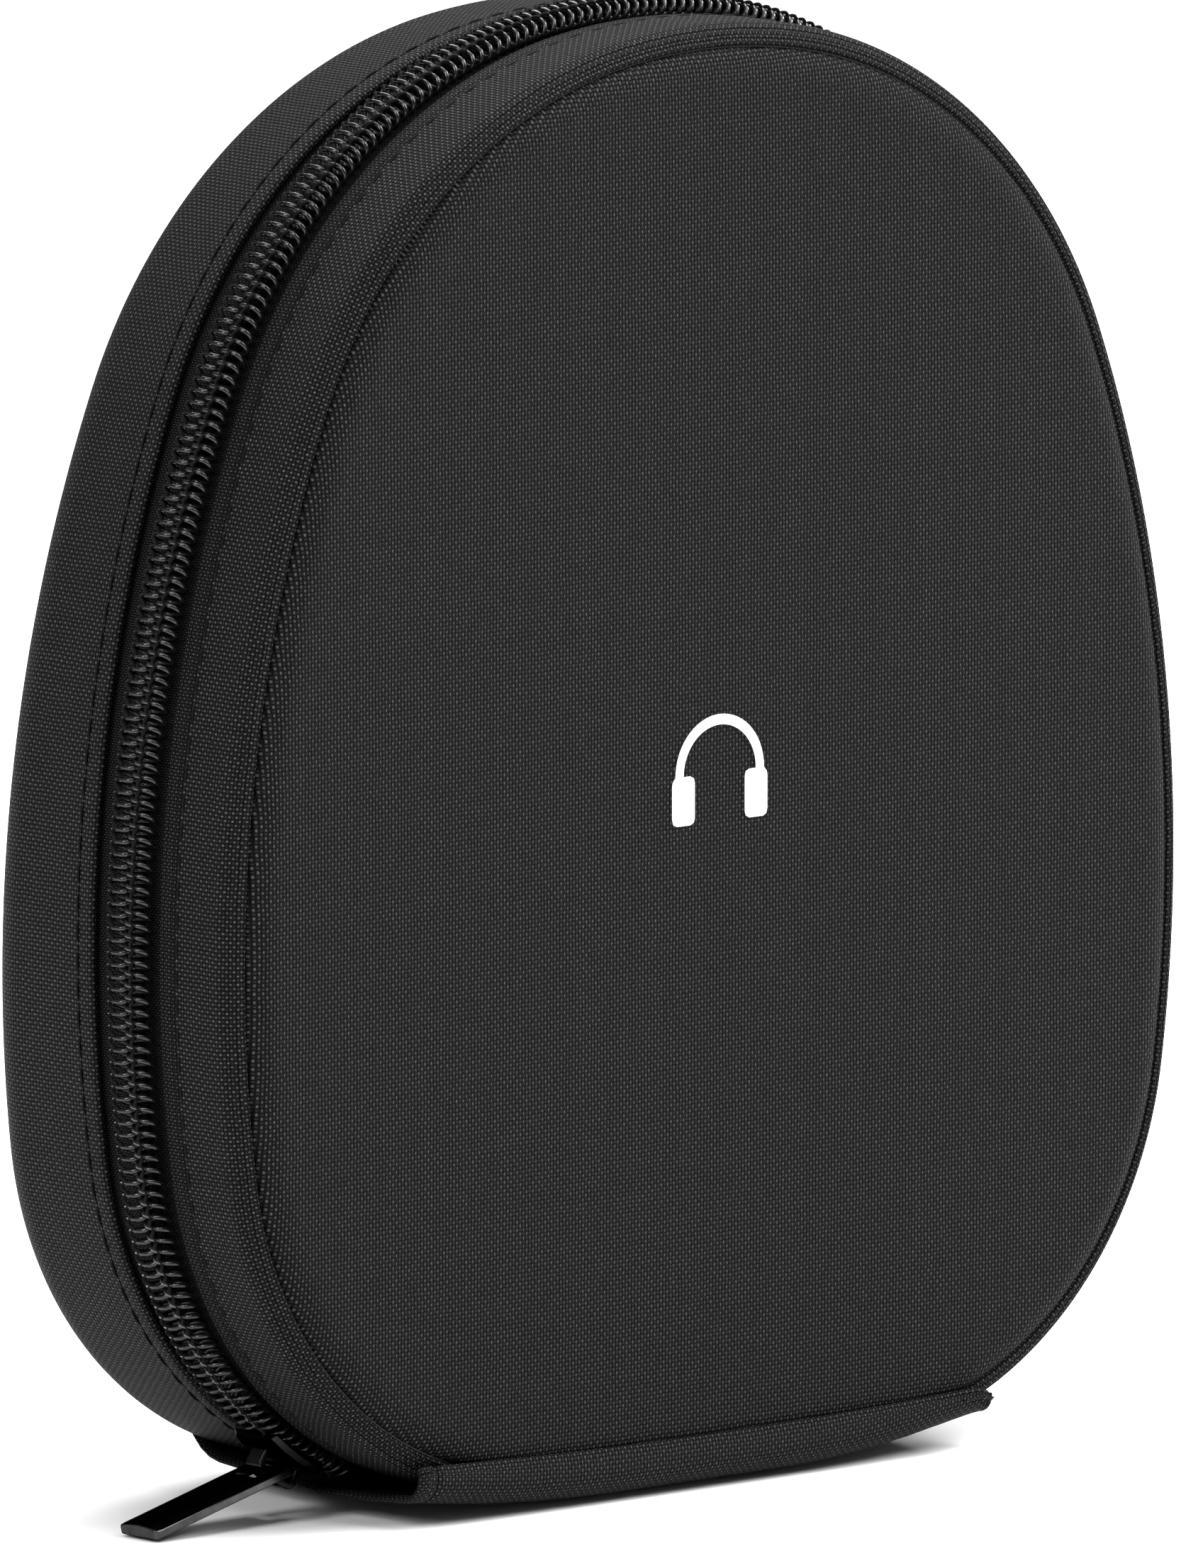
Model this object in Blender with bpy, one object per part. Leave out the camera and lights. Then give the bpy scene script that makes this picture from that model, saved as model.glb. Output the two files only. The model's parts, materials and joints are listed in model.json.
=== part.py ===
"""Headphone carrying case, standing upright and zipped shut.

+X runs across the case, +Y from the front half to the rear half, +Z up.
The origin is the middle of the flat foot under the fabric spine, on the zip's centre plane.
Two moulded halves open like a book: each half folds on one long edge of the spine.
"""
import math

import bmesh
import bpy

MM = 0.001

# Outline of both halves seen from the front, as arcs from the crown down to the spine:
# radius, the angle of the outward normal where the arc ends, and the number of straight steps.
CROWN = (95.3 * MM, 80.9, 1)
SHOULDER = (73.2 * MM, 21.7, 6)
SIDE = (198.1 * MM, -8.4, 6)
CORNER = (54.5 * MM, -87.3, 8)
BOTTOM_STEPS = 2
CASE_TOP = 197.5 * MM

# Every profile below is drawn as (d, y): d is the depth inwards from the outline.
GAP = 0.3 * MM
FABRIC = 0.8 * MM
FRONT_Y = -19.8 * MM
FRONT_ROLL = 3.2 * MM
FACE_Y = -20.6 * MM
FACE_BACK_Y = -19.0 * MM
FACE_EDGE = 4.4 * MM
REAR_Y = 31.0 * MM
REAR_ROLL = 7.7 * MM
BACK_PANEL_Y = 31.8 * MM
BACK_PANEL_EDGE = 9.0 * MM
CORE_DEPTH = 1.1 * MM
CORE_WALL = 3.5 * MM
REBATE_DEPTH = 2.6 * MM
RIM_Y = 0.5 * MM
LINING = 0.7 * MM
FRONT_HEM = (-8.1 * MM, -4.7 * MM)
REAR_HEM = (8.3 * MM, 11.3 * MM)

# The back leans: it is deeper by the spine than at the crown.
LEAN = 0.0324
LEAN_MID_Z = 92.5 * MM
LEAN_FROM_Y = 12.0 * MM
LEAN_FULL_Y = 23.0 * MM

# Zip: tape, one coil each side of the centre plane, and how far it stops short of the spine.
TAPE_TOP = 1.7 * MM
TAPE_THICK = 0.6 * MM
FRONT_TAPE = (-7.9 * MM, -0.25 * MM)
REAR_TAPE = (0.25 * MM, 11.0 * MM)
COIL_WIDTH = 4.0 * MM
COIL_PROUD = 1.6 * MM
COIL_SPLIT = 0.15 * MM
TAPE_END_ANGLE = -80.0
COIL_END_ANGLE = -68.0
STOP_LENGTH = 2.2 * MM

# Spine: the fabric strip under both halves. Its left end stands open and its right end hugs the halves.
SPINE_LEFT = -52.3 * MM
SPINE_RIGHT = 48.6 * MM
SPINE_THICK = 1.2 * MM
SPINE_FLAT_HALF = 16.0 * MM
SPINE_RISE_R = 249.0 * MM
SPINE_HUG_R = 165.0 * MM
SPINE_HUG_GAP = 1.55 * MM
SPINE_FRONT_Y = -19.8 * MM
SPINE_REAR_Y = 22.4 * MM
SPINE_STATIONS = 5
STRIP_Y = (-21.0 * MM, -20.1 * MM)
SEAM_Z = 7.6 * MM
SEAM_R = 1150.0 * MM
REAR_STRIP_START_Y = 24.1 * MM
REAR_STRIP_ANGLES = (-70, -50, -30)
HEM_WIDTH = 1.1 * MM

# Fold lines of the spine, along X.
FRONT_FOLD = (0.0, -20.5 * MM, 1.0 * MM)
REAR_FOLD = (0.0, 22.9 * MM, 0.9 * MM)

# Slider, its bridge and the pull tab. Angles are turned up from straight down about the corner's centre.
SLIDER_ANGLE = 32.5
SLIDER_LENGTH = 10.4 * MM
SLIDER_HALF_WIDTH = 4.9 * MM
SLIDER_PLATE = 1.2 * MM
SLIDER_CLEARANCE = 0.35 * MM
SLIDER_FLANGE_Y = (4.35 * MM, 5.35 * MM)
BRIDGE_HALF_LENGTH = 3.4 * MM
BRIDGE_HALF_WIDTH = 1.5 * MM
BRIDGE_HEIGHT = 3.1 * MM
BRIDGE_BAR = 0.9 * MM
TAB_LENGTH = 24.5 * MM
TAB_HALF_WIDTH = 3.9 * MM
TAB_THICK = 1.3 * MM
TAB_CROWN = 0.5 * MM
TAB_BAR = 0.65 * MM
TAB_SLOT_END = 4.9 * MM
TAB_SLOT_HALF_WIDTH = 2.1 * MM
TAB_DROP_ANGLE = 14.4

# Inside: an open tray for accessories on the back, and an elastic pocket in the front half.
TRAY_HALF = (30.0 * MM, 38.0 * MM)
TRAY_Z = 88.0 * MM
TRAY_Y = (9.0 * MM, 25.2 * MM)
TRAY_WALL = 2.0 * MM
TRAY_CORNER = 8.0 * MM
POCKET_Y = (-7.2 * MM, -6.4 * MM)
POCKET_TOP_Z = 78.0 * MM
POCKET_EDGE = 6.0 * MM
ELASTIC_HEIGHT = 3.2 * MM
ELASTIC_Y = (-7.7 * MM, -5.9 * MM)

# Generic printed mark on the face: a headphone pictogram.
PRINT_Z = 98.0 * MM
PRINT_Y = (-21.15 * MM, -20.9 * MM)
PRINT_BAND_R = (7.9 * MM, 6.5 * MM)
PRINT_CUP = (3.4 * MM, 6.6 * MM)


# ---------------------------------------------------------------- outline and paths

def polar(radius, degrees):
    """Point at this radius and angle, as (x, z)."""
    turn = math.radians(degrees)
    return radius * math.cos(turn), radius * math.sin(turn)


def outline_arcs():
    """Arcs of the right half as (centre x, centre z, radius, first angle, last angle, steps)."""
    radius, angle = CROWN[0], 90.0
    centre_x, centre_z = 0.0, CASE_TOP - radius
    arcs = []
    for next_radius, end_angle, steps in (CROWN, SHOULDER, SIDE, CORNER):
        shift_x, shift_z = polar(radius - next_radius, angle)
        centre_x += shift_x
        centre_z += shift_z
        radius = next_radius
        arcs.append((centre_x, centre_z, radius, angle, end_angle, steps))
        angle = end_angle
    bottom_radius = radius + centre_x / math.cos(math.radians(angle))
    shift_x, shift_z = polar(radius - bottom_radius, angle)
    arcs.append((centre_x + shift_x, centre_z + shift_z, bottom_radius, angle, -90.0, BOTTOM_STEPS))
    return arcs


def right_side(last_angle=-90.0):
    """Stations down the right side as (x, z, normal x, normal z), from the crown to last_angle."""
    stations = []
    for centre_x, centre_z, radius, start, end, steps in outline_arcs():
        end = max(end, last_angle)
        first = 1 if stations else 0
        for step in range(first, steps + 1):
            angle = start + (end - start) * step / steps
            normal_x, normal_z = polar(1.0, angle)
            stations.append((centre_x + radius * normal_x, centre_z + radius * normal_z, normal_x, normal_z))
        if end == last_angle:
            break
    return stations


def mirrored(stations):
    """The same stations on the left side."""
    return [(-x, z, -normal_x, normal_z) for x, z, normal_x, normal_z in stations]


def closed_path():
    """Stations all the way round."""
    right = right_side()
    return right + mirrored(right)[-2:0:-1]


def open_path(last_angle):
    """Stations from the left corner over the crown to the right corner."""
    right = right_side(last_angle)
    return mirrored(right)[:0:-1] + right


def corner_centre():
    """Centre of the lower left corner's arc, which the slider turns about."""
    centre_x, centre_z = outline_arcs()[3][:2]
    return -centre_x, centre_z


def outline_z(x):
    """Height of the outline's underside at this x."""
    corner, bottom = outline_arcs()[3:]
    join_x = corner[0] + polar(corner[2], corner[4])[0]
    centre_x, centre_z, radius = (bottom if abs(x) < join_x else corner)[:3]
    return centre_z - math.sqrt(radius ** 2 - (abs(x) - centre_x) ** 2)


def lean(y, z):
    """Depth y moved by the lean of the back at height z."""
    share = min(max((y - LEAN_FROM_Y) / (LEAN_FULL_Y - LEAN_FROM_Y), 0.0), 1.0)
    return y - LEAN * (z - LEAN_MID_Z) * share


def spine_z(x):
    """Height of the spine's underside: flat in the middle, open to the left and hugging the outline on the right."""
    beyond = max(abs(x) - SPINE_FLAT_HALF, 0.0)
    if x < 0:
        return beyond ** 2 / (2 * SPINE_RISE_R)
    return min(beyond ** 2 / (2 * SPINE_HUG_R), outline_z(x) - SPINE_HUG_GAP)


def seam_z(x):
    """Height of the seam that joins the spine to the face."""
    return SEAM_Z + x ** 2 / (2 * SEAM_R)


def arc(centre_d, centre_y, radius, start, end, steps):
    """Points of a profile on an arc, both ends included."""
    points = []
    for step in range(steps + 1):
        d, y = polar(radius, start + (end - start) * step / steps)
        points.append((centre_d + d, centre_y + y))
    return points


# ---------------------------------------------------------------- mesh building

def material(name, colour, roughness, metallic=0.0):
    """A Principled material."""
    made = bpy.data.materials.new(name)
    made.use_nodes = True
    made.diffuse_color = (*colour, 1.0)
    shader = made.node_tree.nodes["Principled BSDF"]
    shader.inputs["Base Color"].default_value = (*colour, 1.0)
    shader.inputs["Roughness"].default_value = roughness
    shader.inputs["Metallic"].default_value = metallic
    return made


def pivot(name, location, parent=None):
    """An empty on a joint's axis."""
    empty = bpy.data.objects.new(name, None)
    bpy.context.scene.collection.objects.link(empty)
    empty["world"] = location
    base = parent["world"] if parent else (0.0, 0.0, 0.0)
    empty.parent = parent
    empty.location = [location[i] - base[i] for i in range(3)]
    return empty


def piece(name, points, faces, surface, parent=None, smooth=True):
    """One named object from world points, with its origin on its parent's axis."""
    base = parent["world"] if parent else (0.0, 0.0, 0.0)
    mesh = bpy.data.meshes.new(name)
    mesh.from_pydata([[p[i] - base[i] for i in range(3)] for p in points], [], faces)
    shaped = bmesh.new()
    shaped.from_mesh(mesh)
    bmesh.ops.recalc_face_normals(shaped, faces=shaped.faces)
    shaped.to_mesh(mesh)
    shaped.free()
    if smooth:
        mesh.shade_smooth()
        mesh.set_sharp_from_angle(angle=math.radians(35))
    mesh.materials.append(surface)
    made = bpy.data.objects.new(name, mesh)
    bpy.context.scene.collection.objects.link(made)
    made.parent = parent
    return made


def rings(path, profile):
    """World points of a (d, y) profile at each station of a path."""
    points = []
    for x, z, normal_x, normal_z in path:
        for d, y in profile:
            px, pz = x - d * normal_x, z - d * normal_z
            points.append((px, lean(y, pz), pz))
    return points


def skin(count, width, loop_path, loop_profile):
    """Quads over a grid of count stations by width profile points."""
    faces = []
    for i in range(count if loop_path else count - 1):
        j = (i + 1) % count
        for k in range(width if loop_profile else width - 1):
            m = (k + 1) % width
            faces.append((i * width + k, i * width + m, j * width + m, j * width + k))
    return faces


def band(name, path, profile, surface, parent=None, closed=True):
    """A band round the outline with a closed profile, capped at its ends if it is open."""
    width = len(profile)
    faces = skin(len(path), width, closed, True)
    if not closed:
        faces.append(tuple(range(width)))
        faces.append(tuple((len(path) - 1) * width + k for k in range(width)))
    return piece(name, rings(path, profile), faces, surface, parent)


def dish_faces(count, width):
    """Faces of a dish: the profile's two ends are closed by flat panels."""
    faces = skin(count, width, True, False)
    faces.append(tuple(i * width for i in range(count)))
    faces.append(tuple(i * width + width - 1 for i in range(count)))
    return faces


def dish(name, profile, surface, parent=None):
    """A shallow dish or a panel round the whole outline."""
    path = closed_path()
    return piece(name, rings(path, profile), dish_faces(len(path), len(profile)), surface, parent)


def strip_along_x(name, stations, section, surface, parent=None):
    """A strip swept along X: section(x) gives its closed outline in (y, z) at each station."""
    points = []
    for x in stations:
        points += [(x, y, z) for y, z in section(x)]
    width = len(section(stations[0]))
    faces = skin(len(stations), width, False, True)
    faces.append(tuple(range(width)))
    faces.append(tuple((len(stations) - 1) * width + k for k in range(width)))
    return piece(name, points, faces, surface, parent)


def plate(name, outline, y_range, surface, parent=None, moved=None):
    """A flat plate: a closed (x, z) outline given thickness along Y."""
    points = [(x, y, z) for y in y_range for x, z in outline]
    if moved:
        points = [moved(p) for p in points]
    count = len(outline)
    faces = [tuple(range(count)), tuple(range(count, 2 * count))]
    for i in range(count):
        j = (i + 1) % count
        faces.append((i, j, count + j, count + i))
    return piece(name, points, faces, surface, parent)


# ---------------------------------------------------------------- the two halves

def front_half(looks, parent):
    """Moulded front half: face, side cover, hem, core, lining, and its half of the zip."""
    roll_y = FRONT_Y + FRONT_ROLL
    inner_roll = FRONT_ROLL - FABRIC
    core_roll = FRONT_ROLL - CORE_DEPTH
    cover = [(0.0, FRONT_HEM[0] - GAP)]
    cover += arc(FRONT_ROLL, roll_y, FRONT_ROLL, 180, 270, 4)
    cover += [(4.0 * MM, FRONT_Y + 0.2 * MM), (4.0 * MM, FRONT_Y + FABRIC)]
    cover += arc(FRONT_ROLL, roll_y, inner_roll, 270, 180, 2)
    cover += [(FABRIC, FRONT_HEM[0] - GAP)]
    band("front_cover", closed_path(), cover, looks["cover"], parent)

    core = arc(FRONT_ROLL, roll_y, core_roll, 270, 180, 2)
    core += [(CORE_DEPTH, -9.4 * MM), (REBATE_DEPTH, -8.6 * MM), (REBATE_DEPTH, -RIM_Y)]
    inner = CORE_DEPTH + CORE_WALL
    floor_y = -15.2 * MM
    core += [(inner, -RIM_Y), (inner, floor_y + 1.2 * MM), (inner + 1.2 * MM, floor_y)]
    dish("front_shell", core, looks["core"], parent)

    lined = inner + GAP
    lining = [(lined + 1.05 * MM, floor_y + GAP), (lined, floor_y + 1.35 * MM), (lined, -RIM_Y - GAP)]
    lining += [(lined + LINING, -RIM_Y - GAP), (lined + LINING, floor_y + 1.6 * MM)]
    lining += [(lined + 1.3 * MM, floor_y + GAP + LINING)]
    dish("front_lining", lining, looks["lining"], parent)

    hem = [(0.35 * MM, FRONT_HEM[0]), (0.35 * MM, FRONT_HEM[1]), (1.4 * MM, FRONT_HEM[1]), (1.4 * MM, FRONT_HEM[0])]
    band("front_hem", closed_path(), hem, looks["hem"], parent)
    zip_half("front", FRONT_TAPE, -1.0, looks, parent)


def face_panel(looks, parent):
    """Padded face in the middle of the front, cut short above the spine's seam."""
    path = closed_path()
    profile = [(6.6 * MM, FACE_Y), (5.2 * MM, FACE_Y + 0.4 * MM), (FACE_EDGE, FACE_Y + 1.2 * MM), (FACE_EDGE, FACE_BACK_Y)]
    points = []
    for x, y, z in rings(path, profile):
        foot = seam_z(x) + 1.3 * GAP
        points.append((x, y, max(z, foot)) if SPINE_LEFT < x < SPINE_RIGHT else (x, y, z))
    piece("face_panel", points, dish_faces(len(path), len(profile)), looks["face"], parent)


def rear_half(looks):
    """Moulded rear half, deeper than the front, with its half of the zip."""
    roll_y = REAR_Y - REAR_ROLL
    inner_roll = REAR_ROLL - FABRIC
    core_roll = REAR_ROLL - CORE_DEPTH
    cover = [(0.0, REAR_HEM[1] + GAP)]
    cover += arc(REAR_ROLL, roll_y, REAR_ROLL, 180, 90, 5)
    cover += [(8.6 * MM, REAR_Y - 0.2 * MM), (8.6 * MM, REAR_Y - FABRIC)]
    cover += arc(REAR_ROLL, roll_y, inner_roll, 90, 180, 3)
    cover += [(FABRIC, REAR_HEM[1] + GAP)]
    band("rear_cover", closed_path(), cover, looks["cover"])

    inner = CORE_DEPTH + CORE_WALL
    floor_y = 26.6 * MM
    core = arc(REAR_ROLL, roll_y, core_roll, 90, 180, 3)
    core += [(CORE_DEPTH, 12.4 * MM), (REBATE_DEPTH, 11.6 * MM), (REBATE_DEPTH, RIM_Y), (inner, RIM_Y)]
    core += arc(inner + 4.0 * MM, floor_y - 4.0 * MM, 4.0 * MM, 180, 90, 2)
    dish("rear_shell", core, looks["core"])

    lined = inner + GAP
    turn = 4.0 * MM - GAP
    lining = arc(lined + turn, floor_y - 4.0 * MM, turn, 90, 180, 2)
    lining += [(lined, RIM_Y + GAP), (lined + LINING, RIM_Y + GAP)]
    lining += arc(lined + turn, floor_y - 4.0 * MM, turn - LINING, 180, 90, 2)
    dish("rear_lining", lining, looks["lining"])

    hem = [(-0.1 * MM, REAR_HEM[0]), (-0.1 * MM, REAR_HEM[1]), (1.3 * MM, REAR_HEM[1]), (1.3 * MM, REAR_HEM[0])]
    band("rear_hem", closed_path(), hem, looks["hem"])

    panel = [(11.0 * MM, BACK_PANEL_Y), (9.4 * MM, BACK_PANEL_Y - 0.5 * MM), (BACK_PANEL_EDGE, BACK_PANEL_Y - 1.2 * MM)]
    panel += [(BACK_PANEL_EDGE, REAR_Y - FABRIC)]
    dish("back_panel", panel, looks["face"])
    zip_half("rear", REAR_TAPE, 1.0, looks, None)


def zip_half(side, tape_y, sign, looks, parent):
    """Tape, coil and end stops on one side of the zip."""
    tape_path = open_path(TAPE_END_ANGLE)
    coil_path = open_path(COIL_END_ANGLE)
    tape_bottom = TAPE_TOP + TAPE_THICK
    tape = [(TAPE_TOP, tape_y[0]), (TAPE_TOP, tape_y[1]), (tape_bottom, tape_y[1]), (tape_bottom, tape_y[0])]
    band(side + "_zip_tape", tape_path, tape, looks["tape"], parent, closed=False)

    inner, outer = sign * COIL_SPLIT, sign * COIL_WIDTH
    foot = TAPE_TOP - GAP
    coil = [(foot, inner), (-0.8 * MM, inner), (-COIL_PROUD, inner + sign * 0.8 * MM)]
    coil += [(-COIL_PROUD, outer - sign * 1.1 * MM), (-0.5 * MM, outer), (foot, outer)]
    band(side + "_zip_coil", coil_path, coil, looks["coil"], parent, closed=False)

    for end, mirror in (("right", 1), ("left", -1)):
        x, z, normal_x, normal_z = right_side(COIL_END_ANGLE)[-1]
        x, normal_x = x * mirror, normal_x * mirror
        along = (normal_z * mirror, -normal_x * mirror)
        points = []
        for step in (GAP, GAP + STOP_LENGTH):
            for d, y in ((foot, inner * 4), (-0.9 * MM, inner * 4), (-0.9 * MM, outer * 0.9), (foot, outer * 0.9)):
                points.append((x + along[0] * step - d * normal_x, y, z + along[1] * step - d * normal_z))
        faces = skin(2, 4, False, True) + [(0, 1, 2, 3), (4, 5, 6, 7)]
        piece(side + "_zip_stop_" + end, points, faces, looks["metal"], parent)


# ---------------------------------------------------------------- spine

def spine_stations():
    """Places along X at which the spine is drawn."""
    flat = SPINE_FLAT_HALF
    left = [-flat + (SPINE_LEFT + flat) * k / SPINE_STATIONS for k in range(SPINE_STATIONS, 0, -1)]
    right = [flat + (SPINE_RIGHT - flat) * k / SPINE_STATIONS for k in range(1, SPINE_STATIONS + 1)]
    return left + [-flat, flat] + right


def spine(looks, base_parent, front_parent):
    """The fabric strip under the case, in its three stretches between and beyond the two folds."""
    def base(x):
        low = spine_z(x)
        return [(SPINE_FRONT_Y, low), (SPINE_REAR_Y, low), (SPINE_REAR_Y, low + SPINE_THICK),
                (SPINE_FRONT_Y, low + SPINE_THICK)]

    def front(x):
        low, high = spine_z(x) + SPINE_THICK + GAP, seam_z(x)
        return [(STRIP_Y[0], low), (STRIP_Y[1], low), (STRIP_Y[1], high), (STRIP_Y[0], high)]

    def rear(x):
        centre_z = outline_z(x) + REAR_ROLL
        centre_y = lean(REAR_Y - REAR_ROLL, centre_z)
        low = spine_z(x) + 0.15 * MM
        outer_r, inner_r = REAR_ROLL + FABRIC + 1.3 * GAP, REAR_ROLL + 1.3 * GAP
        outer = [(REAR_STRIP_START_Y, low)]
        outer += [(centre_y + polar(outer_r, a)[0], centre_z + polar(outer_r, a)[1]) for a in REAR_STRIP_ANGLES]
        inner = [(centre_y + polar(inner_r, a)[0], centre_z + polar(inner_r, a)[1]) for a in REAR_STRIP_ANGLES[::-1]]
        return outer + inner + [(REAR_STRIP_START_Y, low + FABRIC)]

    stations = spine_stations()
    strip_along_x("spine_base", stations, base, looks["spine"], base_parent)
    strip_along_x("spine_front_strip", stations, front, looks["spine"], front_parent)
    strip_along_x("spine_rear_strip", stations, rear, looks["spine"])
    for side, end_x, width in (("left", SPINE_LEFT - GAP, -HEM_WIDTH), ("right", SPINE_RIGHT + GAP, HEM_WIDTH)):
        ends = [end_x, end_x + width]
        low = spine_z(end_x) - 0.1 * MM
        edge = [(SPINE_FRONT_Y, low), (SPINE_REAR_Y, low), (SPINE_REAR_Y, low + 1.5 * MM), (SPINE_FRONT_Y, low + 1.5 * MM)]
        strip_along_x("spine_hem_" + side, ends, lambda x, edge=edge: edge, looks["hem"], base_parent)


# ---------------------------------------------------------------- slider and pull

def round_corner(angle, radius):
    """Point at this angle up from straight down about the lower left corner's centre."""
    centre_x, centre_z = corner_centre()
    turn = math.radians(angle)
    return centre_x - radius * math.sin(turn), centre_z - radius * math.cos(turn)


def slider(looks, parent):
    """Slider body: a channel that follows the corner's arc over both coils."""
    low_d = -COIL_PROUD - SLIDER_CLEARANCE
    top_d = low_d - SLIDER_PLATE
    flange_d = TAPE_TOP - GAP - 0.3 * MM
    half = SLIDER_HALF_WIDTH
    section = [(low_d, -half), (top_d + 0.4 * MM, -half), (top_d, -half + 0.8 * MM), (top_d, half - 0.4 * MM)]
    section += [(top_d + 0.4 * MM, SLIDER_FLANGE_Y[1]), (flange_d, SLIDER_FLANGE_Y[1])]
    section += [(flange_d, SLIDER_FLANGE_Y[0]), (low_d, SLIDER_FLANGE_Y[0])]
    reach = math.degrees(SLIDER_LENGTH / 2 / CORNER[0])
    steps = 6
    points = []
    for step in range(steps + 1):
        angle = SLIDER_ANGLE - reach + 2 * reach * step / steps
        for d, y in section:
            x, z = round_corner(angle, CORNER[0] - d)
            points.append((x, y, z))
    width = len(section)
    faces = skin(steps + 1, width, False, True)
    faces += [tuple(range(width)), tuple(steps * width + k for k in range(width))]
    piece("slider_body", points, faces, looks["metal"], parent)


def slider_frame():
    """Axes of the slider: its centre on the coil's line, its way along the zip, and outwards."""
    turn = math.radians(SLIDER_ANGLE)
    along = (-math.cos(turn), math.sin(turn))
    outward = (-math.sin(turn), -math.cos(turn))
    return round_corner(SLIDER_ANGLE, CORNER[0]), along, outward


def bridge_foot():
    """Height above the coil's line at which the bridge stands."""
    return COIL_PROUD + SLIDER_CLEARANCE + SLIDER_PLATE + GAP


def tab_pivot():
    """Place of the pull tab's cross bar, under the bridge."""
    (x, z), _, outward = slider_frame()
    height = bridge_foot() + (BRIDGE_HEIGHT - BRIDGE_BAR) / 2
    return x + outward[0] * height, 0.0, z + outward[1] * height


def bridge(looks, parent):
    """Bridge of the slider, which holds the pull tab."""
    (x, z), along, outward = slider_frame()
    reach, top, bar = BRIDGE_HALF_LENGTH, BRIDGE_HEIGHT, BRIDGE_BAR
    shape = [(-reach, 0.0), (-reach, top - 1.0 * MM), (-reach + 1.0 * MM, top), (reach - 1.0 * MM, top)]
    shape += [(reach, top - 1.0 * MM), (reach, 0.0), (reach - bar, 0.0), (reach - bar, top - bar)]
    shape += [(-reach + bar, top - bar), (-reach + bar, 0.0)]
    foot = bridge_foot()
    outline = [(x + along[0] * a + outward[0] * (foot + h), z + along[1] * a + outward[1] * (foot + h)) for a, h in shape]
    plate("slider_bridge", outline, (-BRIDGE_HALF_WIDTH, BRIDGE_HALF_WIDTH), looks["metal"], parent)


def pull_tab(looks, parent):
    """Pull tab: a long plate with a crowned section and a slot, hung on its cross bar."""
    centre = tab_pivot()
    turn = math.radians(TAB_DROP_ANGLE)
    along = (-math.cos(turn), -math.sin(turn))
    up = (-math.sin(turn), math.cos(turn))
    half, slot = TAB_HALF_WIDTH, TAB_SLOT_HALF_WIDTH
    low, high = -TAB_THICK / 2, TAB_THICK / 2
    rows = [-TAB_BAR, TAB_BAR, TAB_SLOT_END, TAB_LENGTH - 1.5 * MM, TAB_LENGTH]
    columns = [(-half, 0.0), (-slot, TAB_CROWN * 0.7), (slot, TAB_CROWN * 0.7), (half, 0.0)]
    points = []
    for face_height in (low, high):
        for row, length in enumerate(rows):
            for y, crown in columns:
                lift = face_height + (crown if face_height > 0 and row > 1 else 0.0)
                narrow = 0.94 if row in (0, len(rows) - 1) and abs(y) == half else 1.0
                points.append((centre[0] + along[0] * length + up[0] * lift, y * narrow,
                               centre[2] + along[1] * length + up[1] * lift))
    width, layer = len(columns), len(columns) * len(rows)
    faces = []
    for row in range(len(rows) - 1):
        for column in range(width - 1):
            a = row * width + column
            quad = (a, a + 1, a + width + 1, a + width)
            if (row, column) == (1, 1):
                ring = quad + quad[:1]
                faces += [(p, q, q + layer, p + layer) for p, q in zip(ring, ring[1:])]
                continue
            faces += [quad, tuple(k + layer for k in quad)]
    rim = [k for k in range(width)]
    rim += [row * width + width - 1 for row in range(1, len(rows))]
    rim += [(len(rows) - 1) * width + k for k in range(width - 2, -1, -1)]
    rim += [row * width for row in range(len(rows) - 2, 0, -1)]
    rim.append(rim[0])
    faces += [(p, q, q + layer, p + layer) for p, q in zip(rim, rim[1:])]
    piece("pull_tab", points, faces, looks["metal"], parent)


# ---------------------------------------------------------------- inside and print

def rounded_box(half_x, half_z, radius, steps=3):
    """Closed (x, z) outline of a rectangle with round corners, about the origin."""
    outline = []
    for sign_x, sign_z, start in ((1, 1, 0), (-1, 1, 90), (-1, -1, 180), (1, -1, 270)):
        for step in range(steps + 1):
            x, z = polar(radius, start + 90 * step / steps)
            outline.append((sign_x * (half_x - radius) + x, sign_z * (half_z - radius) + z))
    return outline


def accessory_tray(looks):
    """Open tray moulded for the cable and adapters, on the back's lining."""
    outer = rounded_box(*TRAY_HALF, TRAY_CORNER)
    inner = rounded_box(TRAY_HALF[0] - TRAY_WALL, TRAY_HALF[1] - TRAY_WALL, TRAY_CORNER - TRAY_WALL)
    levels = [(outer, TRAY_Y[1]), (outer, TRAY_Y[0]), (inner, TRAY_Y[0]), (inner, TRAY_Y[1] - TRAY_WALL)]
    points = []
    for i in range(len(outer)):
        for shape, y in levels:
            x, z = shape[i][0], shape[i][1] + TRAY_Z
            points.append((x, lean(y, z), z))
    piece("accessory_tray", points, dish_faces(len(outer), len(levels)), looks["tray"])


def lid_pocket(looks, parent):
    """Elastic mesh pocket across the lower part of the front half, and its top binding."""
    inside = [(x - POCKET_EDGE * nx, z - POCKET_EDGE * nz) for x, z, nx, nz in right_side()]
    below = [point for point in inside if point[1] < POCKET_TOP_Z - 4.0 * MM]
    above = [point for point in inside if point[1] >= POCKET_TOP_Z - 4.0 * MM][-1]
    share = (POCKET_TOP_Z - below[0][1]) / (above[1] - below[0][1])
    corner_x = below[0][0] + (above[0] - below[0][0]) * share
    right = [(corner_x, POCKET_TOP_Z)] + below
    outline = right + [(-x, z) for x, z in right[-2::-1]]
    plate("lid_pocket", outline, POCKET_Y, looks["mesh"], parent)
    low, high = POCKET_TOP_Z + GAP, POCKET_TOP_Z + GAP + ELASTIC_HEIGHT
    reach = corner_x - 0.4 * MM
    plate("pocket_elastic", [(-reach, low), (reach, low), (reach, high), (-reach, high)], ELASTIC_Y, looks["hem"], parent)


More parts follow.
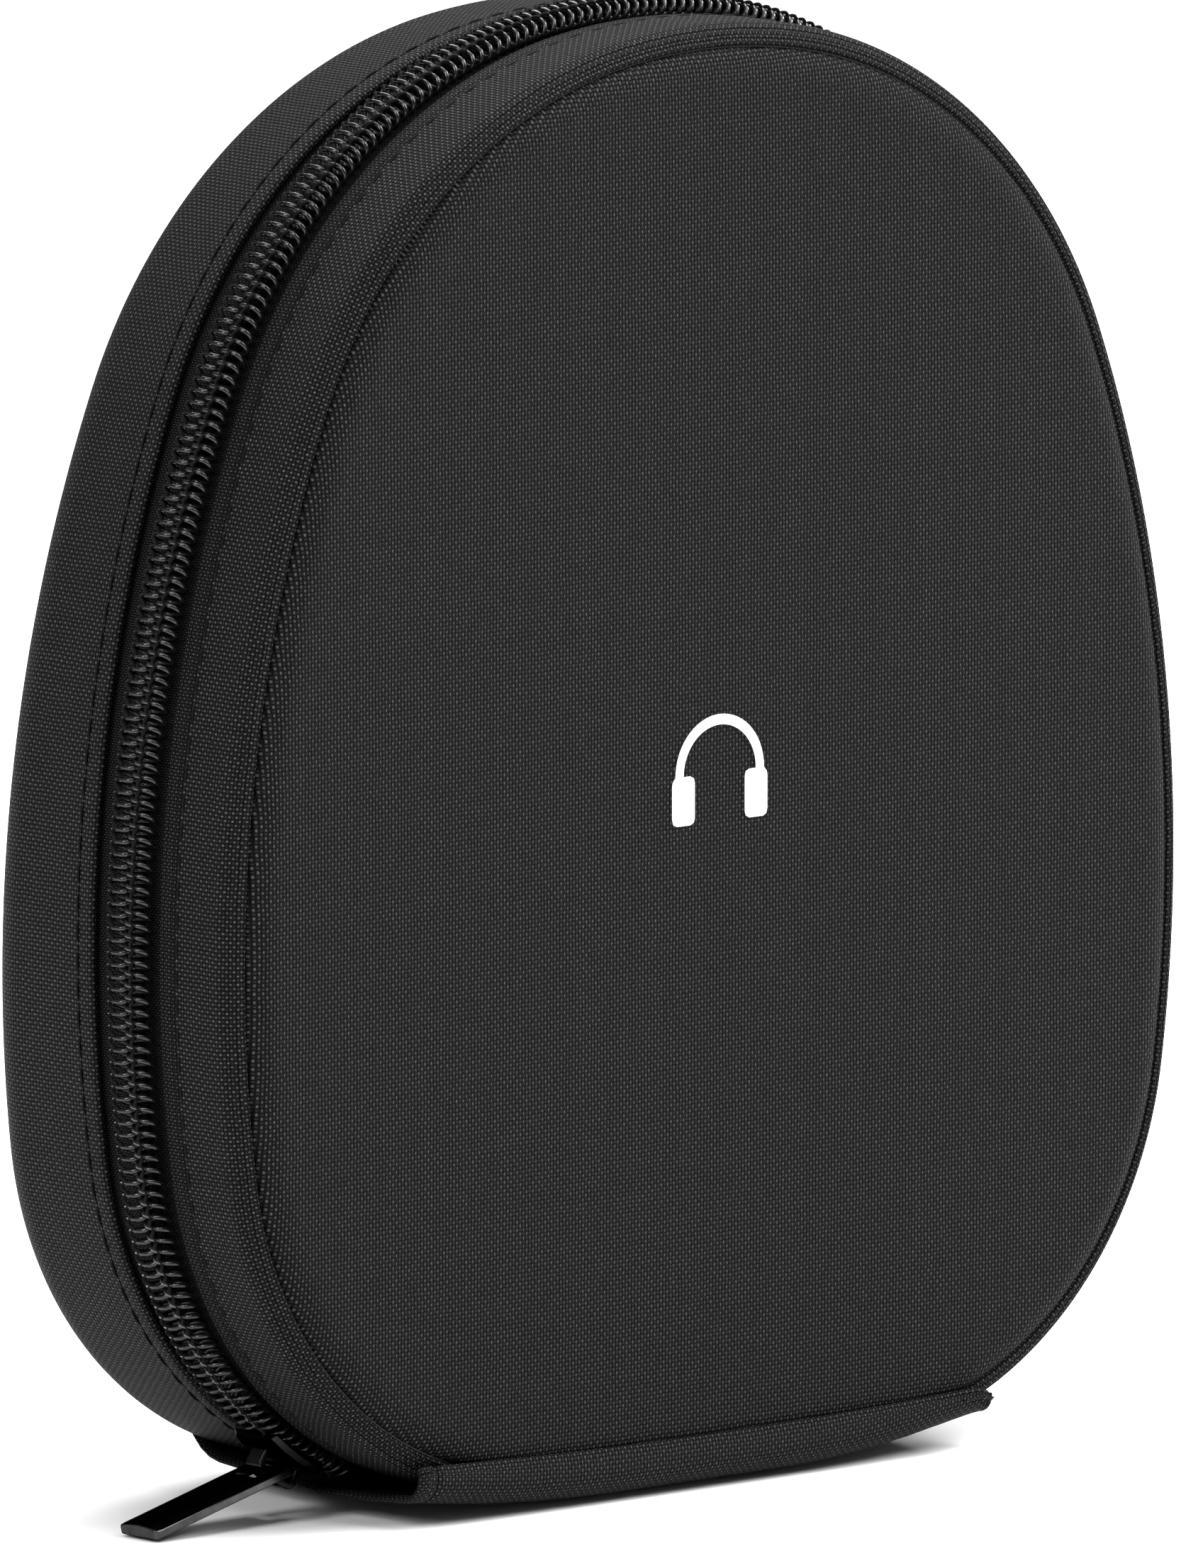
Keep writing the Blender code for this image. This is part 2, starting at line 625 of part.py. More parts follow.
def face_print(looks, parent):
    """Generic printed mark: a headband with two ear cups."""
    outer, inner = PRINT_BAND_R
    cup_x, cup_z = PRINT_CUP
    right = [polar(outer, angle) for angle in range(90, -1, -15)]
    right += [(outer + 0.5 * MM, -0.8 * MM), (outer + 0.5 * MM, -cup_z + 0.8 * MM), (outer - 0.3 * MM, -cup_z)]
    right += [(outer - cup_x + 0.6 * MM, -cup_z), (outer - cup_x, -cup_z + 0.7 * MM), (outer - cup_x, -0.6 * MM)]
    right += [(inner - 0.4 * MM, 0.0)] + [polar(inner, angle) for angle in range(15, 91, 15)]
    left = [(-x, z) for x, z in right[-2:0:-1]]
    outline = [(x, z + PRINT_Z - 1.0 * MM) for x, z in right + left]
    plate("face_print", outline, PRINT_Y, looks["print"], parent)


def build():
    """Clear the scene and model the whole case."""
    for old in list(bpy.data.objects):
        bpy.data.objects.remove(old, do_unlink=True)
    looks = {
        "face": material("face_fabric", (0.035, 0.035, 0.037), 0.85),
        "cover": material("cover_fabric", (0.040, 0.040, 0.042), 0.88),
        "hem": material("hem_fabric", (0.025, 0.025, 0.026), 0.85),
        "spine": material("spine_fabric", (0.032, 0.032, 0.034), 0.85),
        "core": material("moulded_core", (0.020, 0.020, 0.021), 0.75),
        "lining": material("lining_fabric", (0.050, 0.050, 0.053), 0.95),
        "tape": material("zip_tape", (0.012, 0.012, 0.013), 0.80),
        "coil": material("zip_coil", (0.010, 0.010, 0.011), 0.25),
        "metal": material("black_metal", (0.008, 0.008, 0.009), 0.18, 1.0),
        "tray": material("moulded_tray", (0.028, 0.028, 0.030), 0.80),
        "mesh": material("pocket_mesh", (0.015, 0.015, 0.016), 0.85),
        "print": material("white_print", (0.90, 0.90, 0.90), 0.55),
    }
    rear_fold = pivot("rear_fold", REAR_FOLD)
    front_fold = pivot("front_fold", FRONT_FOLD, rear_fold)
    corner_x, corner_z = corner_centre()
    slider_turn = pivot("slider_turn", (corner_x, 0.0, corner_z))
    tab_turn = pivot("tab_turn", tab_pivot(), slider_turn)

    rear_half(looks)
    accessory_tray(looks)
    spine(looks, rear_fold, front_fold)
    front_half(looks, front_fold)
    face_panel(looks, front_fold)
    lid_pocket(looks, front_fold)
    face_print(looks, front_fold)
    slider(looks, slider_turn)
    bridge(looks, slider_turn)
    pull_tab(looks, tab_turn)


build()
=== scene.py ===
"""Looks of the headphone carrying case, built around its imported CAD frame.

Everything is in metres in the frame's own axes: X across the case, Y from front to back, Z up.
A profile is a list of (d, y): d is the depth inwards from the outline, in the outline's own plane.
"""
import json
import math

import bmesh
import bpy
import numpy as np
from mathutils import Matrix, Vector


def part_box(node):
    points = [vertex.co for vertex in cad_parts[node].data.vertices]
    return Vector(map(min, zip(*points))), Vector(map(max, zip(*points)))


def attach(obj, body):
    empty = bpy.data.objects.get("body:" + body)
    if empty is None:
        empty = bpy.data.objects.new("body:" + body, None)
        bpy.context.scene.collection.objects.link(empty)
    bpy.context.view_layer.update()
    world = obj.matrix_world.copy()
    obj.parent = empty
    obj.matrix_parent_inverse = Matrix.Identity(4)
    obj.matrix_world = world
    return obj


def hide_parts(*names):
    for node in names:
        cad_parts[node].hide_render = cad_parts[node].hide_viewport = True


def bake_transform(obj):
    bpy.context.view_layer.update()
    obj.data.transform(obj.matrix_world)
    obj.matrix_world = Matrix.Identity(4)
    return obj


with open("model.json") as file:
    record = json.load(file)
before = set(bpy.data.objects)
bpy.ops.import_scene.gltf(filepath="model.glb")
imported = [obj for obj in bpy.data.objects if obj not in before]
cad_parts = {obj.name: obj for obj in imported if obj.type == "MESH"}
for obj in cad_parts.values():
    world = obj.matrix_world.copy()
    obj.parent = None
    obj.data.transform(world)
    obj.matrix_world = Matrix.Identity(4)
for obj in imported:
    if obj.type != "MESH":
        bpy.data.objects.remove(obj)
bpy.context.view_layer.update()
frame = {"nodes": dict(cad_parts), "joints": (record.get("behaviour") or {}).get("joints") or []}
MM = 0.001

# Outline of both halves, the same arcs as the CAD: radius and the normal's angle where the arc ends. Then its top,
# and the spacing of the stations round it.
ARCS = ((95.3 * MM, 80.9), (73.2 * MM, 21.7), (198.1 * MM, -8.4), (54.5 * MM, -87.3))
CASE_TOP = 197.5 * MM
STEP = 1.7 * MM

# Lean of the back: depth per height about LEAN_MID_Z, from none at LEAN_FROM_Y to all of it at LEAN_FULL_Y.
LEAN = 0.0324
LEAN_MID_Z = 92.5 * MM
LEAN_FROM_Y = 12.0 * MM
LEAN_FULL_Y = 23.0 * MM

# Thickness of the covers' cloth, the plane of the back, and the radius of its rounded edge.
FABRIC = 0.8 * MM
REAR_Y = 31.0 * MM
REAR_ROLL = 7.7 * MM

# Spine: its ends, its underside's curve along X, its seam on the face, its front bend and its cloth.
SPINE_LEFT = -52.3 * MM
SPINE_RIGHT = 48.6 * MM
SPINE_FLAT_HALF = 16.0 * MM
SPINE_RISE_R = 249.0 * MM
SPINE_HUG_R = 165.0 * MM
SPINE_HUG_GAP = 1.55 * MM
SEAM_Z = 7.6 * MM
SEAM_R = 1150.0 * MM
SPINE_BEND = 3.9 * MM
SPINE_CLOTH = 0.9 * MM

# Seam line of the spine's left hem: its place, depth and half width.
HEM_SEAM_X = -50.5 * MM
HEM_SEAM_DEPTH = 0.25 * MM
HEM_SEAM_WIDTH = 0.35 * MM

# Front shoulder: its radius and middle, the degrees and steps it turns, and the ribs over its last steps.
SHOULDER_R = 3.4 * MM
SHOULDER_Y = -16.0 * MM
SHOULDER_TURN = 76
SHOULDER_STEPS = 40
RIB_FIRST_STEP = 12
RIB_HEIGHT = 0.09 * MM
RIBS = 4

# Weave pitches, from thread to thread.
FACE_PITCH = 0.56 * MM
COVER_PITCH = 0.56 * MM
HEM_PITCH = 0.46 * MM
TAPE_PITCH = 0.34 * MM

# Weave: the painted shade in its gaps, how dark its weft is, its relief, and the powers that shape each float and the
# light painted on it.
PAINTED_GAP_SHADE = 0.03
WEFT_SHADE = 0.28
WEAVE_RELIEF = 0.20 * MM
FLOAT_WIDTH_POWER = 1.5
FLOAT_LENGTH_POWER = 0.5
PAINTED_LIGHT_POWER = 3.0

# Zip coils: the pitch, the first tooth's place in pitches and the depth between the coils. Then each coil's middle,
# half width, height, rise and wire, and the place and radius of the thread over it.
TOOTH_PITCH = 1.635 * MM
FIRST_TOOTH = 0.3
COIL_MIDDLE = 0.4 * MM
COIL_CENTRE = 1.78 * MM
COIL_REACH = 1.90 * MM
COIL_LIFT = 0.35 * MM
COIL_RISE = 1.25 * MM
COIL_WIRE = 0.38 * MM
CORD_ACROSS = 2.1 * MM
CORD_RADIUS = 0.25 * MM

# Sewing stitches.
STITCH_LENGTH = 2.9 * MM
STITCH_PITCH = 3.9 * MM
STITCH_RADIUS = 0.18 * MM

# Where the coils, the tapes and the stitches end on each side, as angles on the outline.
COIL_END_ANGLE = -68.0
TAPE_END_ANGLE = -80.0
STITCH_END_ANGLE = -88.0

# Pocket: its place along Y, and its mouth's gathers.
POCKET_Y = -6.8 * MM
GATHER_DEPTH = 0.22 * MM
GATHER_TURN = 46.0

# How far the pull tab hangs below level, in degrees.
TAB_DROP = 14.4


# ---------------------------------------------------------------- camera, floor and lights

TARGET = Vector((0.0, 0.0051, 0.0925))
CAMERA_AZIMUTH = -41.6
CAMERA_ELEVATION = 8.6
CAMERA_DISTANCE = 5.122
SENSOR_HEIGHT = 36.0
LENS = 877.0


def from_target(azimuth, elevation, distance):
    """A place seen from the target at this azimuth and elevation."""
    a, e = math.radians(azimuth), math.radians(elevation)
    return TARGET + distance * Vector((math.sin(a) * math.cos(e), -math.cos(a) * math.cos(e), math.sin(e)))


def aim(thing, place):
    """Puts a camera or a light at a place, looking at the target."""
    thing.location = place
    thing.rotation_mode = "QUATERNION"
    thing.rotation_quaternion = (TARGET - place).to_track_quat("-Z", "Y")


def make_camera():
    """A camera with a long lens, on the front left and a little above."""
    data = bpy.data.cameras.new("camera")
    data.sensor_fit = "VERTICAL"
    data.sensor_height = SENSOR_HEIGHT
    data.sensor_width = SENSOR_HEIGHT
    data.lens = LENS
    data.clip_end = 30.0
    camera = bpy.data.objects.new("camera", data)
    bpy.context.scene.collection.objects.link(camera)
    aim(camera, from_target(CAMERA_AZIMUTH, CAMERA_ELEVATION, CAMERA_DISTANCE))
    bpy.context.scene.camera = camera


def make_light(name, azimuth, elevation, distance, size, power):
    """A soft rectangular light that looks at the case."""
    data = bpy.data.lights.new(name, "AREA")
    data.shape = "RECTANGLE"
    data.size, data.size_y = size
    data.energy = power
    light = bpy.data.objects.new(name, data)
    bpy.context.scene.collection.objects.link(light)
    aim(light, from_target(azimuth, elevation, distance))


def make_stage():
    """A pale floor that curves up into a round backdrop far behind."""
    points, faces = [], []
    around = 64
    levels = [(2.0, 0.0), (14.0, 0.0), (15.2, 0.15), (16.2, 0.6), (16.8, 1.5), (17.0, 3.0), (17.0, 8.0)]
    for radius, z in levels:
        for k in range(around):
            turn = 2 * math.pi * k / around
            points.append((radius * math.cos(turn), radius * math.sin(turn), z))
    points.append((0.0, 0.0, 0.0))
    for k in range(around):
        j = (k + 1) % around
        faces.append((len(points) - 1, k, j))
        for level in range(len(levels) - 1):
            a, b = level * around, (level + 1) * around
            faces.append((a + k, b + k, b + j, a + j))
    floor = make_object("floor", points, faces, paper())


def paper():
    """Plain pale backdrop paper."""
    tree = Tree("paper")
    tree.shader(colour=(0.93, 0.93, 0.93), roughness=0.9, specular=0.1)
    return tree.material


# ---------------------------------------------------------------- materials

class Tree:
    """A node material, with short calls for the nodes that the fabrics use."""

    def __init__(self, name):
        self.material = bpy.data.materials.new(name)
        self.material.use_nodes = True
        self.nodes = self.material.node_tree.nodes
        self.links = self.material.node_tree.links
        self.surface = self.nodes["Principled BSDF"]

    def put(self, socket, value):
        """Links an output to a socket, or sets the socket to a plain value."""
        if isinstance(value, bpy.types.NodeSocket):
            self.links.new(value, socket)
        else:
            socket.default_value = value

    def node(self, kind, inputs=(), out=0, **settings):
        made = self.nodes.new("ShaderNode" + kind)
        for key, value in settings.items():
            setattr(made, key, value)
        for key, value in dict(inputs).items():
            self.put(made.inputs[key], value)
        return made.outputs[out]

    def math(self, operation, *values):
        return self.node("Math", enumerate(values), operation=operation)

    def mix(self, share, first, second):
        """first at share 0, second at share 1."""
        return self.math("ADD", first, self.math("MULTIPLY", share, self.math("SUBTRACT", second, first)))

    def tint(self, colour, strength):
        """A plain colour times a strength."""
        return self.node("VectorMath", {0: colour, "Scale": strength}, operation="SCALE")

    def noise(self, where, scale, detail=2.0):
        return self.node("TexNoise", {"Vector": where, "Scale": scale, "Detail": detail})

    def place(self):
        return self.node("TexCoord", out=3)

    def bump(self, height, distance, strength=1.0):
        return self.node("Bump", {"Height": height, "Distance": distance, "Strength": strength})

    def shader(self, colour, roughness, specular=None, normal=None, metallic=None, sheen=None):
        """Sets the surface. An argument that isn't given keeps Blender's own value."""
        sockets = {"Base Color": (*colour, 1.0) if isinstance(colour, tuple) else colour, "Roughness": roughness,
                   "Specular IOR Level": specular, "Normal": normal, "Metallic": metallic, "Sheen Weight": sheen,
                   "Sheen Roughness": 0.45 if sheen else None}
        for name, value in sockets.items():
            if value is not None:
                self.put(self.surface.inputs[name], value)


def weave(name, pitch, colour, melange=0.7, roughness=0.55):
    """Plain weave over the "weave" map: threads along both axes, one over and one under in turn.

    melange is how far the threads differ. One set of threads, the weft, is darker than the other. Shade is painted
    into the gaps between the threads and light onto each thread's crown.
    """
    tree = Tree(name)
    where = tree.node("UVMap", uv_map="weave")
    wander = tree.math("SUBTRACT", tree.noise(tree.place(), 260.0, 1.0), 0.5)
    split = tree.nodes.new("ShaderNodeSeparateXYZ")
    tree.put(split.inputs[0], where)
    along = tree.math("MULTIPLY_ADD", wander, 0.5, tree.math("DIVIDE", split.outputs[0], pitch))
    across = tree.math("MULTIPLY_ADD", wander, -0.5, tree.math("DIVIDE", split.outputs[1], pitch))
    column, row = tree.math("FLOOR", along), tree.math("FLOOR", across)
    turn = tree.math("FLOORED_MODULO", tree.math("ADD", column, row), 2.0)

    def hump(value):
        """0 at a thread's edges and 1 at its middle."""
        middle = tree.math("MULTIPLY_ADD", tree.math("FRACT", value), 2.0, -1.0)
        return tree.math("SUBTRACT", 1.0, tree.math("MULTIPLY", middle, middle))

    over, under = hump(along), hump(across)
    width = tree.math("POWER", tree.mix(turn, over, under), FLOAT_WIDTH_POWER)
    length = tree.math("POWER", tree.mix(turn, under, over), FLOAT_LENGTH_POWER)
    height = tree.math("MULTIPLY", width, length)

    thread = tree.node("CombineXYZ", {0: tree.mix(turn, column, 0.0), 1: tree.mix(turn, 0.0, row), 2: turn})
    cell = tree.node("CombineXYZ", {0: column, 1: row})
    thread_shade = tree.node("TexWhiteNoise", {"Vector": thread}, noise_dimensions="3D")
    cell_shade = tree.node("TexWhiteNoise", {"Vector": cell}, noise_dimensions="3D")
    blotch = tree.noise(tree.place(), 900.0, 2.0)
    shade = tree.math("ADD", tree.math("MULTIPLY", thread_shade, 0.25), tree.math("MULTIPLY", cell_shade, 0.45))
    shade = tree.math("ADD", shade, tree.math("MULTIPLY", blotch, 0.6))
    shade = tree.math("MULTIPLY_ADD", shade, melange, 1.0 - melange * 0.65)
    # Painted light: the colour is darkest in the gaps between the threads, as painted shade, and brightest on each
    # thread's crown, as a painted highlight.
    lit = tree.math("MULTIPLY", tree.math("POWER", height, PAINTED_LIGHT_POWER), tree.mix(turn, 1.0, WEFT_SHADE))
    light = tree.math("MULTIPLY", shade, tree.math("MULTIPLY_ADD", lit, 1.0 - PAINTED_GAP_SHADE, PAINTED_GAP_SHADE))
    tree.shader(colour=tree.tint(colour, light), roughness=roughness, specular=0.04,
                normal=tree.bump(height, WEAVE_RELIEF, 0.9))
    return tree.material


def brushed(name, colour, scale):
    """Short brushed lining, without visible threads."""
    tree = Tree(name)
    fine = tree.noise(tree.place(), scale, 3.0)
    broad = tree.noise(tree.place(), scale * 0.06, 2.0)
    shade = tree.math("ADD", tree.math("MULTIPLY", fine, 0.9), tree.math("MULTIPLY", broad, 0.5))
    tree.shader(colour=tree.tint(colour, tree.math("ADD", shade, 0.3)), roughness=0.95, specular=0.15, sheen=0.35,
                normal=tree.bump(fine, 0.1 * MM, 0.7))
    return tree.material


def moulded(name, colour):
    """Moulded foam board or plastic with a fine grain."""
    tree = Tree(name)
    fine = tree.noise(tree.place(), 1400.0, 2.0)
    worn = tree.noise(tree.place(), 45.0, 3.0)
    shade = tree.math("MULTIPLY_ADD", worn, 0.5, 0.75)
    tree.shader(colour=tree.tint(colour, shade), roughness=tree.math("MULTIPLY_ADD", worn, 0.2, 0.5),
                specular=0.4, normal=tree.bump(fine, 0.05 * MM, 0.5))
    return tree.material


def nylon(name, colour):
    """Extruded nylon: glossy, with faint streaks."""
    tree = Tree(name)
    fine = tree.noise(tree.place(), 1500.0, 2.0)
    tree.shader(colour=tree.tint(colour, tree.math("ADD", fine, 0.5)),
                roughness=tree.math("MULTIPLY_ADD", fine, 0.10, 0.13), specular=0.42,
                normal=tree.bump(fine, 0.01 * MM, 0.3))
    return tree.material


def thread_material(name, colour):
    """Twisted sewing thread."""
    tree = Tree(name)
    twist = tree.noise(tree.place(), 2600.0, 1.0)
    tree.shader(colour=tree.tint(colour, tree.math("ADD", twist, 0.5)), roughness=0.7, specular=0.06,
                normal=tree.bump(twist, 0.05 * MM, 0.6))
    return tree.material


def black_metal(name, shine):
    """Black plated zinc, polished, with a faint cast waviness and rubbed marks."""
    tree = Tree(name)
    wavy = tree.noise(tree.place(), 150.0, 1.0)
    rubbed = tree.noise(tree.place(), 900.0, 3.0)
    tree.shader(colour=tree.tint((shine, shine, shine), tree.math("ADD", rubbed, 0.5)), metallic=1.0,
                roughness=tree.math("MULTIPLY_ADD", rubbed, 0.10, 0.14), normal=tree.bump(wavy, 0.03 * MM, 0.2))
    tree.surface.inputs["Specular Tint"].default_value = (0.02, 0.02, 0.02, 1.0)
    return tree.material


def pocket_net():
    """Elastic net: round holes in a dark ground, by colour and bump."""
    tree = Tree("pocket_net")
    holes = tree.node("TexVoronoi", {"Vector": tree.place(), "Scale": 620.0, "Randomness": 0.15})
    solid = tree.node("MapRange", {0: holes, 1: 0.22, 2: 0.42, 3: 0.0, 4: 1.0})
    tree.shader(colour=tree.tint((0.030, 0.030, 0.032), tree.math("ADD", solid, 0.12)), roughness=0.8, sheen=0.2,
                specular=0.2, normal=tree.bump(solid, 0.25 * MM, 1.0))
    return tree.material


def print_ink():
    """Screen-printed white ink that lets the weave's relief through."""
    tree = Tree("print_ink")
    where = tree.node("UVMap", uv_map="weave")
    split = tree.nodes.new("ShaderNodeSeparateXYZ")
    tree.put(split.inputs[0], where)
    height = None
    for axis in (0, 1):
        wave = tree.math("SINE", tree.math("MULTIPLY", split.outputs[axis], math.pi / FACE_PITCH))
        wave = tree.math("MULTIPLY", wave, wave)
        height = wave if height is None else tree.math("MULTIPLY", height, wave)
    shade = tree.math("MULTIPLY_ADD", height, 0.16, 0.78)
    tree.shader(colour=tree.tint((0.93, 0.93, 0.94), shade), roughness=0.5, specular=0.4,
                normal=tree.bump(height, 0.1 * MM, 0.6))
    return tree.material


# ---------------------------------------------------------------- outline and meshes

def polar(radius, degrees):
    """The two coordinates of a point at this radius and angle."""
    turn = math.radians(degrees)
    return radius * math.cos(turn), radius * math.sin(turn)


def outline_arcs():
    """Arcs of the right half as (centre x, centre z, radius, first angle, last angle)."""
    radius, angle = ARCS[0][0], 90.0
    centre_x, centre_z = 0.0, CASE_TOP - radius
    arcs = []
    for next_radius, end_angle in ARCS:
        shift = polar(radius - next_radius, angle)
        centre_x, centre_z, radius = centre_x + shift[0], centre_z + shift[1], next_radius
        arcs.append((centre_x, centre_z, radius, angle, end_angle))
        angle = end_angle
    bottom = radius + centre_x / math.cos(math.radians(angle))
    shift = polar(radius - bottom, angle)
    arcs.append((centre_x + shift[0], centre_z + shift[1], bottom, angle, -90.0))
    return arcs


def right_side(last_angle=-90.0):
    """Stations (x, z, normal x, normal z, way along) down the right side from the crown."""
    stations, way = [], 0.0
    for centre_x, centre_z, radius, start, end in outline_arcs():
        end = max(end, last_angle)
        steps = max(1, round(math.radians(start - end) * radius / STEP))
        for step in range(1 if stations else 0, steps + 1):
            angle = start + (end - start) * step / steps
            nx, nz = polar(1.0, angle)
            stations.append((centre_x + radius * nx, centre_z + radius * nz, nx, nz,
                             way + math.radians(start - angle) * radius))
        way = stations[-1][4]
        if end == last_angle:
            break
    return np.array(stations)


def closed_path():
    """Stations once round the whole outline, from the crown down the right side and up the left."""
    right = right_side()
    left = right[-2:0:-1] * (-1, 1, -1, 1, -1) + (0, 0, 0, 0, 2 * right[-1, 4])
    return np.concatenate([right, left])


def open_path(last_angle):
    """Stations from last_angle on the left side over the crown to last_angle on the right."""
    right = right_side(last_angle)
    return np.concatenate([right[:0:-1] * (-1, 1, -1, 1, -1), right])


def along_path(path, ways):
    """Stations at any way along an open path."""
    found = np.stack([np.interp(ways, path[:, 4], path[:, k]) for k in range(4)], axis=1)
    found[:, 2:4] /= np.linalg.norm(found[:, 2:4], axis=1)[:, None]
    return found


def outline_z(x):
    """Height of the outline's underside at this x."""
    corner, bottom = outline_arcs()[3:]
    join_x = corner[0] + polar(corner[2], corner[4])[0]
    centre_x, centre_z, radius = (bottom if abs(x) < join_x else corner)[:3]
    return centre_z - math.sqrt(radius ** 2 - (abs(x) - centre_x) ** 2)


def lean(y, z):
    """Depth y moved by the lean of the back at height z."""
    share = np.clip((y - LEAN_FROM_Y) / (LEAN_FULL_Y - LEAN_FROM_Y), 0.0, 1.0)
    return y - LEAN * (z - LEAN_MID_Z) * share


def spine_z(x):
    """Height of the spine's underside: flat in the middle, rising to the left, close to the outline on the right."""
    beyond = max(abs(x) - SPINE_FLAT_HALF, 0.0)
    if x < 0:
        return beyond ** 2 / (2 * SPINE_RISE_R)
    return min(beyond ** 2 / (2 * SPINE_HUG_R), outline_z(x) - SPINE_HUG_GAP)


def seam_z(x):
    """Height of the seam that joins the spine to the face."""
    return SEAM_Z + x ** 2 / (2 * SEAM_R)


def arc(centre, radius, start, end, steps):
    """Points of a profile on an arc, both ends included."""
    return [(centre[0] + polar(radius, start + (end - start) * k / steps)[0],
             centre[1] + polar(radius, start + (end - start) * k / steps)[1]) for k in range(steps + 1)]


def inward_of(line):
    """Unit directions to the left of a profile's way, at each of its points."""
    way = np.gradient(line, axis=0)
    way /= np.linalg.norm(way, axis=1)[:, None]
    return np.stack([-way[:, 1], way[:, 0]], axis=1)


def thick(outer, depth=FABRIC):
    """An open profile closed by its own copy, depth further in."""
    line = np.array(outer)
    inner = line + depth * inward_of(line)
    return np.concatenate([line, inner[::-1]])


def ways_of(profile):
    """Way along a profile at each of its points."""
    steps = np.linalg.norm(np.diff(profile, axis=0), axis=1)
    return np.concatenate([[0.0], np.cumsum(steps)])


def loop_ways(profile):
    """Way along a closed profile at each of its points, and at its first point again."""
    return ways_of(np.concatenate([profile, profile[:1]]))


def share_of(value):
    """A value kept between 0 and 1."""
    return min(max(value, 0.0), 1.0)


def make_object(name, points, faces, surface, uvs=None, sharp=40):
    """A smooth mesh object, with edges above sharp degrees kept. uvs gives one pair for each corner of each face."""
    mesh = bpy.data.meshes.new(name)
    mesh.from_pydata([tuple(p) for p in points], [], faces)
    if uvs is not None:
        mesh.uv_layers.new(name="weave").data.foreach_set("uv", np.array(uvs, np.float32).ravel())
    shaped = bmesh.new()
    shaped.from_mesh(mesh)
    bmesh.ops.recalc_face_normals(shaped, faces=shaped.faces)
    shaped.to_mesh(mesh)
    shaped.free()
    mesh.shade_smooth()
    mesh.set_sharp_from_angle(angle=math.radians(sharp))
    mesh.materials.append(surface)
    made = bpy.data.objects.new(name, mesh)
    bpy.context.scene.collection.objects.link(made)
    return made


def grid_faces(rows, columns, rows_closed, columns_closed):
    """Quads over a grid, and the (row, column) of each corner without wrapping round."""
    faces, corners = [], []
    for i in range(rows if rows_closed else rows - 1):
        for k in range(columns if columns_closed else columns - 1):
            quad = ((i, k), (i, k + 1), (i + 1, k + 1), (i + 1, k))
            faces.append(tuple((a % rows) * columns + b % columns for a, b in quad))
            corners.append(quad)
    return faces, corners


def capped_faces(rows, columns):
    """Faces over rings of points, with one face over the first ring and one over the last."""
    last = (rows - 1) * columns
    return grid_faces(rows, columns, False, True)[0] + [tuple(range(columns)), tuple(range(last, last + columns))]


def rim_of(rows, columns):
    """Points round the edge of an open grid, in order."""
    rim = list(range(columns)) + [row * columns + columns - 1 for row in range(1, rows)]
    rim += [(rows - 1) * columns + k for k in range(columns - 2, -1, -1)]
    return rim + [row * columns for row in range(rows - 2, 0, -1)]


def wall_faces(loop, layer):
    """Faces between a loop of points and the same loop on the next layer."""
    return [(p, q, q + layer, p + layer) for p, q in zip(loop, loop[1:] + loop[:1])]


def prism_faces(count):
    """Faces of a prism over an outline of this many points."""
    return [tuple(range(count)), tuple(range(count, 2 * count))] + wall_faces(list(range(count)), count)


def rings(path, profile):
    """World points of a profile at each station: rows are stations and columns profile points."""
    d, y = np.asarray(profile).T
    x = path[:, 0:1] - d * path[:, 2:3]
    z = path[:, 1:2] - d * path[:, 3:4]
    return np.stack([x, lean(np.broadcast_to(y, z.shape), z), z], axis=2)


def swept(name, points, ways, profile_ways, surface, closed=False, caps=()):
    """A skin over rings of points. The profile is closed, and caps are the rows closed by one face."""
    rows, columns = points.shape[:2]
    faces, corners = grid_faces(rows, columns, closed, True)
    ways = np.append(ways, ways[0] + (ways[-1] - ways[0]) * rows / max(rows - 1, 1))
    uvs = [(ways[i], profile_ways[k]) for quad in corners for i, k in quad]
    for cap in caps:
        faces.append(tuple(cap * columns + k for k in range(columns)))
        uvs += [tuple(points[cap, k, 1:3]) for k in range(columns)]
    return make_object(name, points.reshape(-1, 3), faces, surface, uvs)


def band(name, profile, surface, last_angle=None):
    """A closed profile swept round the outline, or to last_angle on both sides."""
    ways = loop_ways(np.asarray(profile))
    if last_angle is None:
        path = closed_path()
        return swept(name, rings(path, profile), path[:, 4], ways, surface, closed=True)
    path = open_path(last_angle)
    return swept(name, rings(path, profile), path[:, 4], ways, surface, caps=(0, len(path) - 1))


def dish(name, profile, surface, moved=None):
    """Rings of a profile closed by a panel at each end, with the map laid flat on X and Z. moved shifts the rings."""
    path = closed_path()
    points = rings(path, profile)
    if moved:
        points = moved(points)
    rows, columns = points.shape[:2]
    faces, corners = grid_faces(rows, columns, True, False)
    uvs = [tuple(points[i % rows, k, (0, 2)]) for quad in corners for i, k in quad]
    flat = points.reshape(-1, 3)
    for end in (0, columns - 1):
        cap = [i * columns + end for i in range(rows)]
        faces.append(tuple(cap))
        uvs += [(flat[i][0], flat[i][2]) for i in cap]
    return make_object(name, flat, faces, surface, uvs)


def tube(points, outward, radius, sides=6):
    """Vertices and faces of a closed tube. outward is a rough direction across it, for each point."""
    points, outward = np.asarray(points), np.asarray(outward)
    tangent = np.gradient(points, axis=0)
    tangent /= np.linalg.norm(tangent, axis=1)[:, None]
    first = outward - (outward * tangent).sum(1)[:, None] * tangent
    first /= np.linalg.norm(first, axis=1)[:, None]
    second = np.cross(tangent, first)
    turns = np.arange(sides) * 2 * math.pi / sides
    radius = np.broadcast_to(radius, len(points))[:, None, None]
    around = first[:, None, :] * np.cos(turns)[:, None] + second[:, None, :] * np.sin(turns)[:, None]
    return (points[:, None, :] + radius * around).reshape(-1, 3), capped_faces(len(points), sides)


